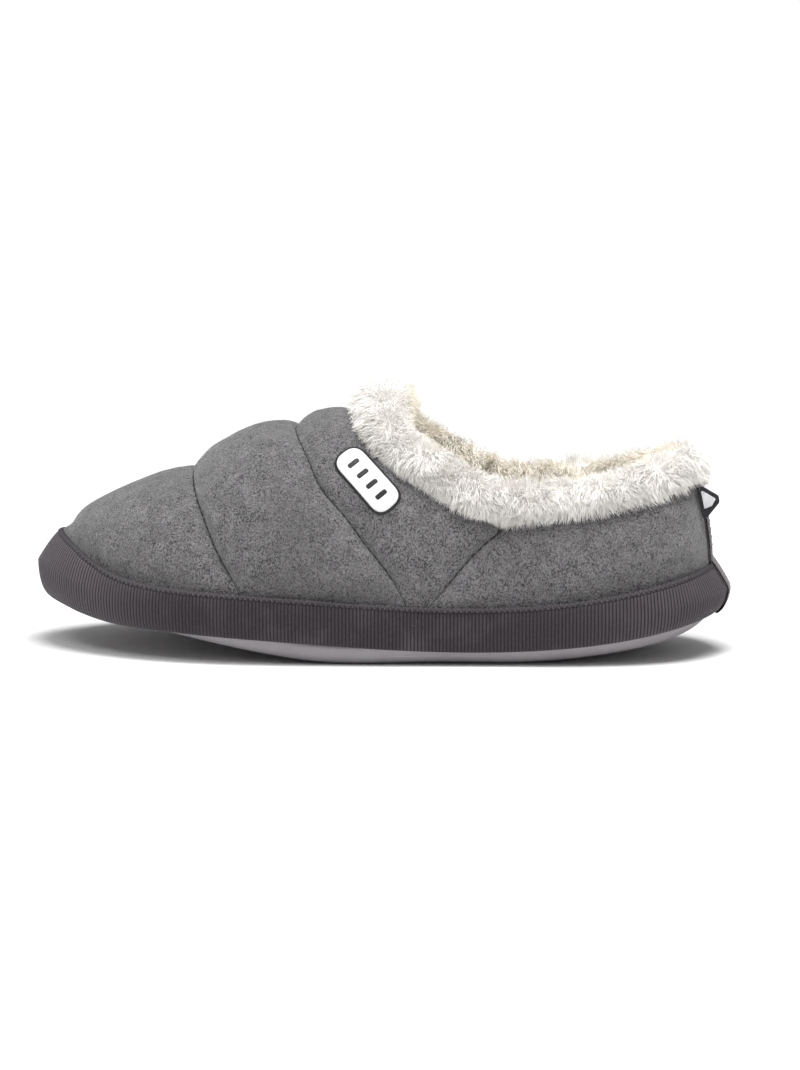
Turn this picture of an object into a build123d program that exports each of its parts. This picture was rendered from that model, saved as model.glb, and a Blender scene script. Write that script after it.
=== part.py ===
"""Left house slipper: quilted suede upper, pile collar, and a sole bound with ribbed ribbon.

Millimetres. +X points to the toe, +Y to the outer (lateral) side, +Z up.
The origin is on the ground, under the middle of the slipper.
"""
from build123d import *
import math
import os
import numpy as np

# ---- driving dimensions -----------------------------------------------------------
LENGTH = 276.0            # over the bound edge of the sole
BAND_BACK = 1.4           # band's thickness at its top and bottom edges
FIT_GAP = 0.3             # clearance between neighbouring soft pieces
TUCK = 7.0                # how far the upper runs down behind the band
SUEDE = 1.1               # thickness of the suede
WADDING = 4.0             # depth of the wadding at a seam
LINING = 3.0              # fleece lining with its pile
COLLAR_GAP = 1.6          # how far the wadding and lining stop short of the collar
EDGE_EASING = 4           # rounds of smoothing on the front lining's rear edge
WALL_TOP = 0.95           # the same at the rear, as a part of the wall's height
OUTSOLE = 4.0
BOARD = 0.8
FOOTBED = 4.0
FLEECE = 4.0
PUFF_START = 0.5          # height over the band at which the panels begin to swell
PUFF_FULL = 11.0          # and at which they have swelled fully
TOE_REACH = 9.0           # how far the band's outline stands ahead of the panels at the toe
TOE_RELIEF = 0.7          # how far the toe's skin is drawn in, to clear the band's tight curve
TOE_PUFF = 3.8
VAMP_PUFF = 3.4
INSTEP_PUFF = 2.4
QUARTER_PUFF = 2.6
STITCH = (4.5, 0.8, 0.6)  # length, width and height of one stitch
STITCH_PITCH = 7.5
STITCH_LIFT = 0.3         # a stitch's underside over its line
SEAM_LIFT = 1.1           # a seam's stitches over the level of the seam
TAPE_WIDTH = 13.0
TAPE = 0.6
HEEL_RADIUS = 30.0        # the back tape's curve in plan
TAB_THICK = 1.4           # two plies of the folded ribbon
TAB_FOOT, TAB_HEAD = (-128.5, 55.0), (-126.1, 66.0)   # X and Z of the ends of the tab's sewn edge
TAB_SIDE = 11.0           # how far that edge is to the outer side of the back seam
BADGE = (31.0, 15.0)
BADGE_EDGE = 2.0          # how much the badge's backing is larger than its face
BADGE_PLACE = (2.4, 72.0)  # X and Z of its middle, on the outer side
HEEL_LEAN = 5.0           # how far the heel leans in over its height
COUNTER = 1.1             # stiffener round the heel
RUBBER_EDGE = 2.0         # outsole's side, in from the band's back
FOAM_EDGE = 2.4           # midsole's and board's sides, in from the band's back
FOOTBED_EDGE = 14.5       # footbed's side, in from the band's back
FOOTBED_FLOOR = 1.0       # footbed's underside over the midsole
LAYER_GAP = 0.1           # between the sole's flat layers
WADDING_GAP = 0.25        # between a panel's skin and its wadding
LINING_START = 2.2        # how far behind the side seam the heel lining begins
HALF = LENGTH / 2
LINING_DEPTH = SUEDE + WADDING + FIT_GAP
COUNTER_DEPTH = SUEDE + WADDING + FIT_GAP

# Plan outline of the sole, from the toe round the outer side to the heel and back.
SOLE_OUTLINE = [
    (HALF, -3), (131, 16), (112, 33), (85, 45), (45, 50.5), (0, 48), (-45, 44.5),
    (-90, 41.5), (-118, 33), (-133, 17.5), (-HALF, 0), (-133, -17.5), (-118, -32),
    (-90, -38.5), (-50, -39), (0, -41), (40, -46), (75, -48.5), (106, -42), (128, -24),
]
# Side-view heights by X: under the outsole, and the middle of the band.
GROUND = [(-138, 15), (-119, 8.6), (-103, 5.2), (-87, 2.7), (-71, 0.9), (-55, 0), (-20, 0),
          (20, 0), (41, 2.8), (57, 5.6), (81, 10), (110, 15.5), (138, 24)]
BAND_MIDDLE = [(-138, 26.5), (-119, 23.0), (-87, 17.6), (-50, 14.6), (-10, 15.2), (30, 17.9),
               (60, 19.6), (90, 21.6), (113, 25.9), (128, 31.2), (138, 33.6)]
# Height of the ribbed band, top edge to bottom edge, by X.
BAND_TALL = [(-138, 19.4), (-110, 19.0), (-80, 18.0), (-40, 17.3), (60, 17.2), (97, 17.8),
             (113, 19.6), (128, 22.6), (138, 24)]
EDGE_INSET = [(-138, 5.2), (-100, 3.4), (80, 3.4), (138, 6.5)]
# Top line of the upper at its seams; behind the opening it is only a form line.
CREST = [(-138, 96), (-90, 98), (-50, 98.5), (-20, 98.5), (11, 96.4), (34.5, 90.6), (55, 83),
         (75.7, 72.8), (90, 67), (105, 60), (122, 50.4), (128.6, 46), (138, 42)]
ARCH_POWER = [(-60, 2.7), (20, 2.25), (80, 2.3), (130, 2.3)]
# Seams, as X by height, and the lower edge of the collar, as height by X.
TOE_SEAM = [(18, 49), (30, 53), (42, 60.3), (57, 67.8), (66, 72.5), (72.8, 75.7)]
VAMP_SEAM = [(14, -17), (26.8, -11.8), (38, -5), (49.8, 4.4), (59.2, 11.6), (68.4, 20.2),
             (80.8, 27.3), (90.6, 34.5)]
SIDE_SEAM = [(12, -11), (24.4, -22.9), (39.5, -35.5), (47.2, -42.8), (54, -51), (62, -60)]
COLLAR_FRONT = [(46, -75), (54, -52), (59.3, -38), (67.1, -22), (78.9, -3.6), (84.7, 2.4),
                (90.7, 7.4), (97, 11.4)]
COLLAR_REAR = [(-52, 54.5), (-66, 56.8), (-90, 59.3), (-106, 62.4), (-124, 66.5), (-138, 67.5)]


# ---- curves -------------------------------------------------------------------------
def spline(stations, values, closed=False):
    """A smooth curve through the values: a natural or a closed cubic spline."""
    x, y = np.array(stations, float), np.array(values, float)
    step, count = np.diff(x), len(y)
    matrix, right = np.zeros((count, count)), np.zeros(y.shape)
    for i in range(count):
        if closed or 0 < i < count - 1:
            before, after, last, following = step[i - 1], step[i], y[i - 1], y[(i + 1) % count]
            matrix[i, i - 1] += 1 / before
            matrix[i, i] += 2 / before + 2 / after
            matrix[i, (i + 1) % count] += 1 / after
            right[i] = 3 * ((y[i] - last) / before**2 + (following - y[i]) / after**2)
        else:
            j = 1 if i == 0 else count - 2
            matrix[i, i], matrix[i, j] = 2, 1
            right[i] = 3 * (y[j] - y[i]) / (x[j] - x[i])
    slope = np.linalg.solve(matrix, right)

    def at(position):
        k = int(np.clip(np.searchsorted(x, position, side="right") - 1, 0, len(step) - 1))
        j, t = (k + 1) % count, (position - x[k]) / step[k]
        return ((1 + 2 * t) * (1 - t)**2 * y[k] + t * (1 - t)**2 * step[k] * slope[k]
                + t * t * (3 - 2 * t) * y[j] + t * t * (t - 1) * step[k] * slope[j])
    return at


def curve(pairs):
    """A smooth function through (position, value) pairs."""
    pairs = sorted(pairs)
    return spline([p for p, _ in pairs], [v for _, v in pairs])


def smooth_step(low, high, value):
    t = min(max((value - low) / (high - low), 0.0), 1.0)
    return t * t * (3 - 2 * t)


ground = curve(GROUND)
band_middle = curve(BAND_MIDDLE)
band_tall = curve(BAND_TALL)
edge_inset = curve(EDGE_INSET)
crest_line = curve(CREST)
arch_power = curve(ARCH_POWER)
toe_seam = curve(TOE_SEAM)
vamp_seam = curve(VAMP_SEAM)
side_seam = curve(SIDE_SEAM)
collar_front = curve(COLLAR_FRONT)
collar_rear = curve(COLLAR_REAR)


def band_top(x):
    return band_middle(x) + band_tall(x) / 2


def opening_edge(z):
    """X of the rear edge of the instep panel: the side seam low down, then the collar."""
    blend = 3.0
    a, b = side_seam(z) / blend, collar_front(z) / blend
    return blend * (max(a, b) + math.log1p(math.exp(-abs(a - b))))


# ---- the outline, and forms drawn in from it ------------------------------------------
SAMPLES = 720
corners = np.array(SOLE_OUTLINE, float)
chords = np.linalg.norm(np.roll(corners, -1, axis=0) - corners, axis=1)
around = np.concatenate([[0], np.cumsum(chords)])
outline_at = spline(around, corners, closed=True)
outline = np.array([outline_at(around[-1] * i / SAMPLES) for i in range(SAMPLES)])
tangent = np.roll(outline, -1, axis=0) - np.roll(outline, 1, axis=0)
outward = np.stack([-tangent[:, 1], tangent[:, 0]], axis=1)
outward /= np.linalg.norm(outward, axis=1)[:, None]
outward *= np.sign((outward * outline).sum(axis=1).mean())
heel_index = int(np.argmin(outline[:, 0]))


def inset_line(depth):
    """The outline drawn in past the band's edge by a depth."""
    amount = np.array([edge_inset(x) for x in outline[:, 0]]) + depth
    return outline - outward * amount[:, None]


class Form:
    """The upper's shape, drawn in by a depth from the level of its seams."""

    def __init__(self, depth):
        self.depth = depth
        line = inset_line(BAND_BACK + FIT_GAP + depth)
        side_a = line[:heel_index + 1]
        side_b = np.concatenate([line[heel_index:], line[:1]])[::-1]
        self.sides = {1: side_a, -1: side_b}
        normals = np.concatenate([outward[heel_index:], outward[:1]])[::-1]
        self.normals = {1: outward[:heel_index + 1], -1: normals}
        self.tip = line[:, 0].max()

    def width(self, x, side):
        line = self.sides[side]
        top = int(np.argmax(line[:, 0]))
        return float(np.interp(-x, -line[top:, 0], line[top:, 1]))

    def crest(self, x):
        slope = (crest_line(x + 1) - crest_line(x - 1)) / 2
        return crest_line(x) - self.depth * math.hypot(1, slope)

    def foot(self, x):
        return band_top(x) - TUCK

    def arch(self, x, t):
        """A point of the section at X; t runs from -1 (inner foot) to 1 (outer foot)."""
        left, right = self.width(x, 1), self.width(x, -1)
        middle, half = (left + right) / 2, (left - right) / 2
        angle = (1 - abs(t)) * math.pi / 2
        power = 2 / arch_power(x)
        y = middle + math.copysign(half * math.cos(angle)**power, t)
        z = self.foot(x) + (self.crest(x) - self.foot(x)) * math.sin(angle)**power
        return np.array([x, y, z])

    def on_seam(self, seam, t, low, high):
        """The X at which the section's point at t lies on a seam given by height."""
        for _ in range(40):
            x = (low + high) / 2
            if x < seam(self.arch(x, t)[2]):
                low = x
            else:
                high = x
        return x

    def wall(self, station, z, side):
        """A point of the rear wall: a station along one side (X, then round the heel)."""
        line, normal = self.sides[side], self.normals[side]
        base = np.array([np.interp(station, np.arange(len(line)), line[:, k]) for k in (0, 1)])
        out = np.array([np.interp(station, np.arange(len(line)), normal[:, k]) for k in (0, 1)])
        rise = max(z - self.foot(base[0]), 0.0)
        rear = smooth_step(-50, -112, base[0])
        tall = self.crest(max(base[0], -112)) - self.foot(base[0])
        half = (self.width(max(base[0], -100), 1) - self.width(max(base[0], -100), -1)) / 2
        power = arch_power(max(base[0], -60))
        lean = half * (1 - max(1 - (rise / tall)**power, 0.0)**(1 / power))
        heel_lean = HEEL_LEAN * (rise / 40)**2
        direction = (1 - rear) * np.array([0.0, float(side)]) + rear * out
        place = base - direction * ((1 - rear) * lean + rear * heel_lean)
        return np.array([place[0], place[1], z])

    def station(self, x, side):
        line = self.sides[side]
        top = int(np.argmax(line[:, 0]))
        return float(np.interp(-x, -line[top:, 0], np.arange(top, len(line))))

    def last_station(self, side):
        return len(self.sides[side]) - 1


# ---- solids from grids of points ------------------------------------------------------
def normals_of(grid):
    along, across = np.gradient(grid, axis=0), np.gradient(grid, axis=1)
    normal = np.cross(along, across)
    return normal / np.maximum(np.linalg.norm(normal, axis=2), 1e-9)[:, :, None]


def away(grid, distance, side=1):
    """The grid moved along its normals; side chooses which way is out."""
    return grid + side * normals_of(grid) * np.asarray(distance)[..., None]


def surface(grid):
    rows = [[Vector(*point) for point in row] for row in grid]
    return Face.make_surface_from_array_of_points(rows, tol=0.02)


def sheet(outer, inner):
    """A solid between two grids of the same size, closed by ruled edges."""
    faces = [surface(outer), surface(inner)]
    for edge in faces[0].edges():
        other = min(faces[1].edges(), key=lambda e: (e.position_at(0.5) - edge.position_at(0.5)).length)
        faces.append(Face.make_surface_from_curves(edge, other))
    return Solid(Shell(faces))


def puffed(grid, height, rear=False):
    """How far a quilted panel swells at each point: nothing at its seams, band and back tape."""
    rows, columns = grid.shape[:2]
    amount = np.zeros((rows, columns))
    for i in range(rows):
        for j in range(columns):
            x, y, z = grid[i, j]
            along = (4 * i * (rows - 1 - i) / (rows - 1)**2)**0.6
            ahead = min(x + TOE_REACH * smooth_step(95, 125, x), HALF)
            across = smooth_step(PUFF_START, PUFF_FULL, z - band_top(ahead))
            if rear:
                across *= 1 - (j / (columns - 1))**8
                across *= smooth_step(TAPE_WIDTH / 2, TAPE_WIDTH * 1.7, math.hypot(y, x + HALF - 10))
            amount[i, j] = along * across * height
    return amount


def export(shape, name):
    export_step(shape, f"parts/{name}.step")


# ---- the sole ----------------------------------------------------------------------------
def slab(lower, upper, reach=150):
    """Everything between two side-view lines."""
    xs = [-reach + 2 * reach * i / 24 for i in range(25)]
    low = [(x, lower(min(max(x, -HALF), HALF))) for x in xs]
    high = [(x, upper(min(max(x, -HALF), HALF))) for x in xs]
    with BuildSketch(Plane.XZ) as profile:
        with BuildLine():
            Spline(*low)
            Line(low[-1], high[-1])
            Spline(*high[::-1])
            Line(high[0], low[0])
        make_face()
    return extrude(profile.sketch, 80, both=True)


def plan(depth):
    """The plan outline drawn in by a depth, as an upright prism."""
    line = inset_line(depth)[::SAMPLES // 36]
    with BuildSketch() as face:
        with BuildLine():
            Spline(*[tuple(point) for point in line], periodic=True)
        make_face()
    return extrude(face.sketch, 70)


def outsole_top(x):
    return ground(x) + OUTSOLE


def midsole_top(x):
    """The foam fills the sole up to the insole board, level with the foot of the upper."""
    return band_top(x) - TUCK - 1.0


def layer(depth, low, high):
    """One flat layer of the sole between two heights above the midsole."""
    return plan(depth) & slab(lambda x: midsole_top(x) + low, lambda x: midsole_top(x) + high)


def band_half(side):
    """Half of the ribbed band, from the toe to the heel along one side."""
    count = 46
    stations = np.linspace(0, heel_index if side > 0 else SAMPLES - heel_index, count)
    outer, inner = [], []
    for station in stations:
        index = int(round(station)) if side > 0 else (SAMPLES - int(round(station))) % SAMPLES
        base, out = outline[index], outward[index]
        x = base[0]
        rows = []
        for v in np.linspace(-1, 1, 9):
            angle = v * math.pi / 2
            draw = edge_inset(x) * (1 - abs(math.cos(angle))**0.75)
            rows.append([*(base - out * draw), band_middle(x) + band_tall(x) / 2 * math.sin(angle)])
        outer.append(rows)
        back = base - out * (edge_inset(x) + BAND_BACK)
        inner.append([[*back, p[2]] for p in rows])
    outer, inner = np.array(outer), np.array(inner)
    for grid in (outer, inner):
        grid[0, :, 1] = outline[0][1]
        grid[-1, :, 1] = outline[heel_index][1]
    return sheet(outer, inner)


def stitches(points, directions):
    """A row of separate stitches lying along a line of points."""
    length, width, height = STITCH
    gaps = np.linalg.norm(np.diff(points, axis=0), axis=1)
    run = np.concatenate([[0], np.cumsum(gaps)])
    row = []
    for i in range(int(run[-1] // STITCH_PITCH)):
        centre = (i + 0.5) * STITCH_PITCH
        ends = [np.array([np.interp(centre + d, run, points[:, k]) for k in range(3)])
                for d in (-length / 2, length / 2)]
        out = np.array([np.interp(centre, run, directions[:, k]) for k in range(3)])
        place = (ends[0] + ends[1]) / 2 + out * (height / 2 + STITCH_LIFT)
        frame = Plane(origin=tuple(place), x_dir=tuple(ends[1] - ends[0]), z_dir=tuple(out))
        row.append(frame * Box(length, width, height))
    return Compound([Solid(piece.solid().wrapped) for piece in row])


def band_stitches():
    """The row that holds the band's top edge to the upper."""
    points, directions = [], []
    tape_gap = 12
    lift = 0.2
    angle = math.radians(62)
    for step in range(heel_index + tape_gap, heel_index + SAMPLES - tape_gap, 4):
        index = step % SAMPLES
        base, out, x = outline[index], outward[index], outline[index][0]
        draw = edge_inset(x) * (1 - math.cos(angle)**0.75)
        height = band_middle(x) + band_tall(x) / 2 * math.sin(angle)
        points.append([*(base - out * (draw - lift)), height + lift])
        directions.append([*(out * 0.62), 0.78])
    return stitches(np.array(points), np.array(directions))


# ---- the upper ----------------------------------------------------------------------------
ACROSS = 33
ALONG = 11


def front_grid(form, start, end, along=ALONG, reach=1.0, round_tip=False):
    """A grid of the arch between two seams, given as functions of t."""
    grid = []
    for u in np.linspace(0, 1, along):
        step = math.sin(u * math.pi / 2) if round_tip else u
        row = []
        for t in np.linspace(-reach, reach, ACROSS):
            x = start(t) + (end(t) - start(t)) * step
            row.append(form.arch(x, t))
        grid.append(row)
    return np.array(grid)


def seam_on(form, seam, low, high, shift=0.0):
    """X of a seam by t, found once for each column."""
    ts = np.linspace(0, 1, ACROSS // 2 + 1)
    xs = [form.on_seam(seam, t, low, high) + shift for t in ts]
    return lambda t: float(np.interp(abs(t), ts, xs))


def front_pieces(start, end, puff, name, low_high):
    """One quilted front panel and the wadding behind it."""
    pieces = {}
    gap = FIT_GAP / 2
    tip = name == "toe"
    form = Form(TOE_RELIEF if tip else 0.0)
    first = seam_on(form, start, *low_high[0], gap if tip else -gap)
    if tip:
        last = lambda t: form.tip - 1.5
    else:
        last = seam_on(form, end, *low_high[1], gap)
    base = front_grid(form, first, last, round_tip=tip)
    side = 1 if normals_of(base)[ALONG // 2, ACROSS // 2, 2] > 0 else -1
    outer = away(base, puffed(base, puff), side)
    pieces[f"{name}_panel"] = sheet(outer, away(outer, np.full(outer.shape[:2], -SUEDE), side))
    back = Form(SUEDE + WADDING)
    first_in = seam_on(back, start, *low_high[0], 0.6 if tip else -0.6)
    if tip:
        last_in = lambda t: back.tip - 1.0
    elif end is opening_edge:
        last_in = seam_on(form, end, *low_high[1], COLLAR_GAP)
    else:
        last_in = seam_on(back, end, *low_high[1], 0.6)
    inner = front_grid(back, first_in, last_in, round_tip=tip)
    front = away(outer, np.full(outer.shape[:2], -SUEDE - WADDING_GAP), side)
    pieces[f"{name}_wadding"] = sheet(front, inner)
    return pieces


def rear_grid(form, side, columns=13, rows=ALONG, shift=0.0, end_gap=0.5, low=0.0, high=1.0,
              begin=0.0):
    """A grid of one rear wall: rows from the side seam to the heel, columns from foot to collar."""
    last = form.last_station(side)
    grid = []
    for u in np.linspace(begin, 1, rows):
        row = []
        for v in np.linspace(low, high, columns):
            x = -35.0
            for _ in range(30):
                z = form.foot(x) + (collar_rear(min(x, -52)) - form.foot(x)) * v
                x = 0.5 * x + 0.5 * (side_seam(z) - shift)
            start = form.station(x, side)
            station = start + (last - end_gap - start) * u
            place = form.wall(station, 0.0, side)[0]
            z = form.foot(place) + (collar_rear(min(place, -52)) - form.foot(place)) * v
            row.append(form.wall(station, z, side))
        grid.append(row)
    return np.array(grid)


def rear_pieces(side, name):
    """One quarter panel and its wadding."""
    base = rear_grid(Form(0.0), side, shift=FIT_GAP / 2)
    way = 1 if normals_of(base)[ALONG // 2, 6, 1] * side > 0 else -1
    outer = away(base, puffed(base, QUARTER_PUFF, rear=True), way)
    inner = away(outer, np.full(outer.shape[:2], -SUEDE), way)
    front = away(outer, np.full(outer.shape[:2], -SUEDE - WADDING_GAP), way)
    front[:, -1, 2] -= COLLAR_GAP
    back = rear_grid(Form(SUEDE + WADDING), side, shift=1.4, end_gap=1.0, high=WALL_TOP)
    return {f"quarter_panel_{name}": sheet(outer, inner),
            f"quarter_wadding_{name}": sheet(front, back)}


def lining_edge():
    """The lining's rear edge: the opening's, with its sharp corners eased forward."""
    seam = seam_on(Form(0.0), opening_edge, -70, 30, COLLAR_GAP)
    ts = np.linspace(0, 1, ACROSS // 2 + 1)
    first = np.array([seam(t) for t in ts])
    xs = first
    for _ in range(EDGE_EASING):
        padded = np.concatenate([xs[1:2], xs, xs[-1:]])
        xs = np.maximum(first, (padded[:-2] + 2 * padded[1:-1] + padded[2:]) / 4)
    return lambda t: float(np.interp(abs(t), ts, xs))


def whole_front_lining():
    """The lining of the toe and instep, one pocket from the toe to the opening."""
    grids = []
    edge = lining_edge()
    for depth in (LINING_DEPTH, LINING_DEPTH + LINING):
        form = Form(depth)
        grids.append(front_grid(form, edge, lambda t: form.tip - 1.5, along=19, round_tip=True))
    return sheet(*grids)


def round_heel(depth, thickness, **span):
    """One piece that wraps the heel, from the outer side round to the inner side."""
    grids = []
    for d in (depth, depth + thickness):
        near, far = (rear_grid(Form(d), side, end_gap=0.0, **span) for side in (1, -1))
        grids.append(np.concatenate([near, far[-2::-1]]))
    return sheet(*grids)


# ---- the collar -----------------------------------------------------------------------------
def collar_line(side, count=29):
    """Points along the collar's lower edge, with the wall's outward direction at each."""
    form = Form(0.0)
    points, outs = [], []
    for t in np.linspace(0, 1, 60):
        x = form.on_seam(opening_edge, t, -70, 30)
        place = form.arch(x, t * side)
        if place[2] < 57.5:
            break
        ahead = form.arch(x + 0.5, t * side) - place
        over = form.arch(x, (t + 0.01) * side) - place
        normal = np.cross(ahead, over) * side
        points.append(place)
        outs.append(normal / np.linalg.norm(normal))
    last = form.last_station(side)
    for station in np.linspace(form.station(-62, side), last, 40):
        x = form.wall(station, 0.0, side)[0]
        z = collar_rear(x)
        place = form.wall(station, z, side)
        ahead = form.wall(max(station - 1, 0), z, side) - form.wall(station - 2, z, side)
        over = form.wall(station, z + 0.5, side) - place
        normal = np.cross(ahead, over) * side
        points.append(place)
        outs.append(normal / np.linalg.norm(normal))
    points, outs = np.array(points), np.array(outs)
    outs[:, :] *= np.sign((outs * (points - [-40, 0, 40])).sum(axis=1))[:, None]
    points[-1, 1] = outline[heel_index][1]
    run = np.concatenate([[0], np.cumsum(np.linalg.norm(np.diff(points, axis=0), axis=1))])
    even = np.linspace(0, run[-1], count)
    points = np.stack([np.interp(even, run, points[:, k]) for k in range(3)], axis=1)
    outs = np.stack([np.interp(even, run, outs[:, k]) for k in range(3)], axis=1)
    for _ in range(2):
        points[1:-1] = (points[:-2] + 2 * points[1:-1] + points[2:]) / 4
        outs[1:-1] = (outs[:-2] + 2 * outs[1:-1] + outs[2:]) / 4
    return points, outs


def collar_frames(side):
    """Lower-edge points with two directions: out of the wall, and up it to the opening."""
    points, outs = collar_line(side)
    along = np.gradient(points, axis=0)
    along[0] = along[-1] = [0, 1, 0]
    outs[0, 1] = outs[-1, 1] = 0
    along /= np.linalg.norm(along, axis=1)[:, None]
    outs -= along * (outs * along).sum(axis=1)[:, None]
    outs /= np.linalg.norm(outs, axis=1)[:, None]
    ups = np.cross(along, outs)
    ups *= np.sign(ups[:, 2])[:, None]
    if ups[0, 0] > 0:
        ups[0] *= -1
    return points, outs, ups


def roll_size(a):
    """The roll's half height, half thickness and middle depth, from the front (0) to the heel (1)."""
    front = 1 - smooth_step(0.02, 0.26, a)
    heel = smooth_step(0.75, 1.0, a)
    return 7.2 + 4.4 * front + 1.0 * heel, 6.2 + 1.4 * front, -2.8 + 2.2 * front


def collar_half(side):
    points, outs, ups = collar_frames(side)
    outer, inner = [], []
    for i, a in enumerate(np.linspace(0, 1, len(points))):
        tall, thick, middle = roll_size(a)
        rows = [[], []]
        for angle in np.linspace(-1.1, 1.1, 9):
            for row, way in zip(rows, (1, -1)):
                rise = 0.4 + tall + tall * math.sin(angle) / math.sin(1.1)
                row.append(points[i] + ups[i] * rise + outs[i] * (middle + way * thick * math.cos(angle)))
        outer.append(rows[0])
        inner.append(rows[1])
    return sheet(np.array(outer), np.array(inner))


# ---- seams, tape, tab and badge ----------------------------------------------------------------
def seam_stitches(seam, low, high):
    """Stitches in the valley of a seam that crosses the whole upper."""
    form = Form(0.0)
    points, outs = [], []
    for t in np.linspace(-0.93, 0.93, 60):
        x = form.on_seam(seam, abs(t), low, high)
        place = form.arch(x, t)
        normal = np.cross(form.arch(x + 0.5, t) - place, form.arch(x, t + 0.01) - place)
        normal *= np.sign(normal[2]) / np.linalg.norm(normal)
        points.append(place + normal * SEAM_LIFT)
        outs.append(normal)
    return stitches(np.array(points), np.array(outs))


def side_stitches(side):
    """Stitches down the slanting side seam."""
    form = Form(0.0)
    points = []
    for z in np.linspace(27, 53, 20):
        points.append(form.wall(form.station(side_seam(z), side), z, side))
    outs = np.tile([0.0, float(side), 0.0], (len(points), 1))
    return stitches(np.array(points) + outs * SEAM_LIFT, outs)


def heel_line():
    """The back seam in side view, from the collar down over the band: X and Z."""
    form = Form(0.0)
    last = form.last_station(1)
    line = [(form.wall(last, z, 1)[0], z) for z in np.linspace(64, 38, 9)]
    for angle in np.radians(np.linspace(55, -65, 9)):
        draw = edge_inset(-HALF) * (1 - math.cos(angle)**0.75)
        line.append((-HALF + draw, band_middle(-HALF) + band_tall(-HALF) / 2 * math.sin(angle)))
    return np.array(line)


def heel_tape():
    """A narrow tape down the back seam."""
    line = heel_line()
    grids = []
    for lift in (FIT_GAP + TAPE, FIT_GAP):
        run = np.gradient(line, axis=0)
        out = np.stack([run[:, 1], -run[:, 0]], axis=1) / np.linalg.norm(run, axis=1)[:, None]
        moved = line + out * lift
        ys = np.linspace(-TAPE_WIDTH / 2, TAPE_WIDTH / 2, 7)
        grids.append(np.array([[(x + y * y / (2 * HEEL_RADIUS), y, z) for y in ys] for x, z in moved]))
    return sheet(*grids)


def tape_stitches():
    line = heel_line()[:9]
    margin, lift = 1.2, 0.4
    rows = []
    for y in (-TAPE_WIDTH / 2 + margin, TAPE_WIDTH / 2 - margin):
        face = -FIT_GAP - TAPE - lift + y * y / (2 * HEEL_RADIUS)
        points = np.array([(x + face, y, z) for x, z in line])
        rows.extend(stitches(points, np.tile([-1.0, 0.0, 0.0], (9, 1))).solids())
    return Compound(rows)


def tab_plane():
    """The plane of the pull tab: its X runs out from the back seam, its Y up along the seam."""
    up = Vector(TAB_HEAD[0] - TAB_FOOT[0], 0, TAB_HEAD[1] - TAB_FOOT[1]).normalized()
    out = up.cross(Vector(0, 1, 0)).normalized()
    out = out if out.X < 0 else -out
    return Plane(origin=(TAB_FOOT[0], TAB_SIDE, TAB_FOOT[1]), x_dir=out, z_dir=out.cross(up))


def tab_outline(points, radius, thick):
    with BuildSketch() as face:
        with BuildLine():
            Polyline(*points, close=True)
        make_face()
        fillet(face.vertices(), radius)
    return extrude(face.sketch, thick / 2, both=True)


def pull_tab():
    body = tab_outline([(-0.5, 0.2), (-0.5, 10.6), (5.6, 6.6), (2.2, -1.6)], 0.45, TAB_THICK)
    return tab_plane() * body


def pull_tab_label():
    """Plain woven patches, one on each face of the tab."""
    patches = []
    for way in (1, -1):
        patch = tab_outline([(0.6, 8.6), (1.4, 9.0), (4.8, 6.4), (3.4, 2.6), (1.2, 4.2)], 0.3, 0.3)
        patches.append((tab_plane() * Pos(0, 0, way * (TAB_THICK / 2 + 0.17)) * patch).solid())
    return Compound(patches)


def tab_stitches():
    rows = []
    for way in (1, -1):
        for i in range(4):
            piece = Pos(0.2, 1.4 + i * 1.9, way * (TAB_THICK / 2 + 0.35)) * Box(0.5, 1.4, 0.5)
            rows.append((tab_plane() * piece).solid())
    return Compound(rows)


def badge_layer(size, low, high):
    """A soft-cornered plate that follows the outer side of the instep."""
    form = Form(0.0)
    x0, z0 = BADGE_PLACE

    def on_side(x, z):
        power = arch_power(x)
        q = (z - form.foot(x)) / (form.crest(x) - form.foot(x))
        left, right = form.width(x, 1), form.width(x, -1)
        return (left + right) / 2 + (left - right) / 2 * (1 - q**power)**(1 / power)

    centre = np.array([x0, on_side(x0, z0), z0])
    ahead = np.array([x0 + 1, on_side(x0 + 1, z0), z0]) - centre
    above = np.array([x0, on_side(x0, z0 + 1), z0 + 1]) - centre
    normal = np.cross(above, ahead)
    normal *= np.sign(normal[1]) / np.linalg.norm(normal)
    long_way = np.array([0.63, 0.0, 0.77])
    long_way -= normal * long_way.dot(normal)
    long_way /= np.linalg.norm(long_way)
    short_way = np.cross(normal, long_way)
    grid = []
    for p in np.linspace(-1, 1, 11):
        row = []
        for q in np.linspace(-1, 1, 7):
            a = size[0] / 2 * p * math.sqrt(1 - 0.3 * q * q)
            b = size[1] / 2 * q * math.sqrt(1 - 0.3 * p * p)
            x, _, z = centre + long_way * a + short_way * b
            row.append([x, on_side(x, z), z])
        grid.append(row)
    grid = np.array(grid)
    way = 1 if normals_of(grid)[5, 3, 1] > 0 else -1
    flat = np.ones(grid.shape[:2])
    return sheet(away(grid, flat * high, way), away(grid, flat * low, way))


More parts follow.
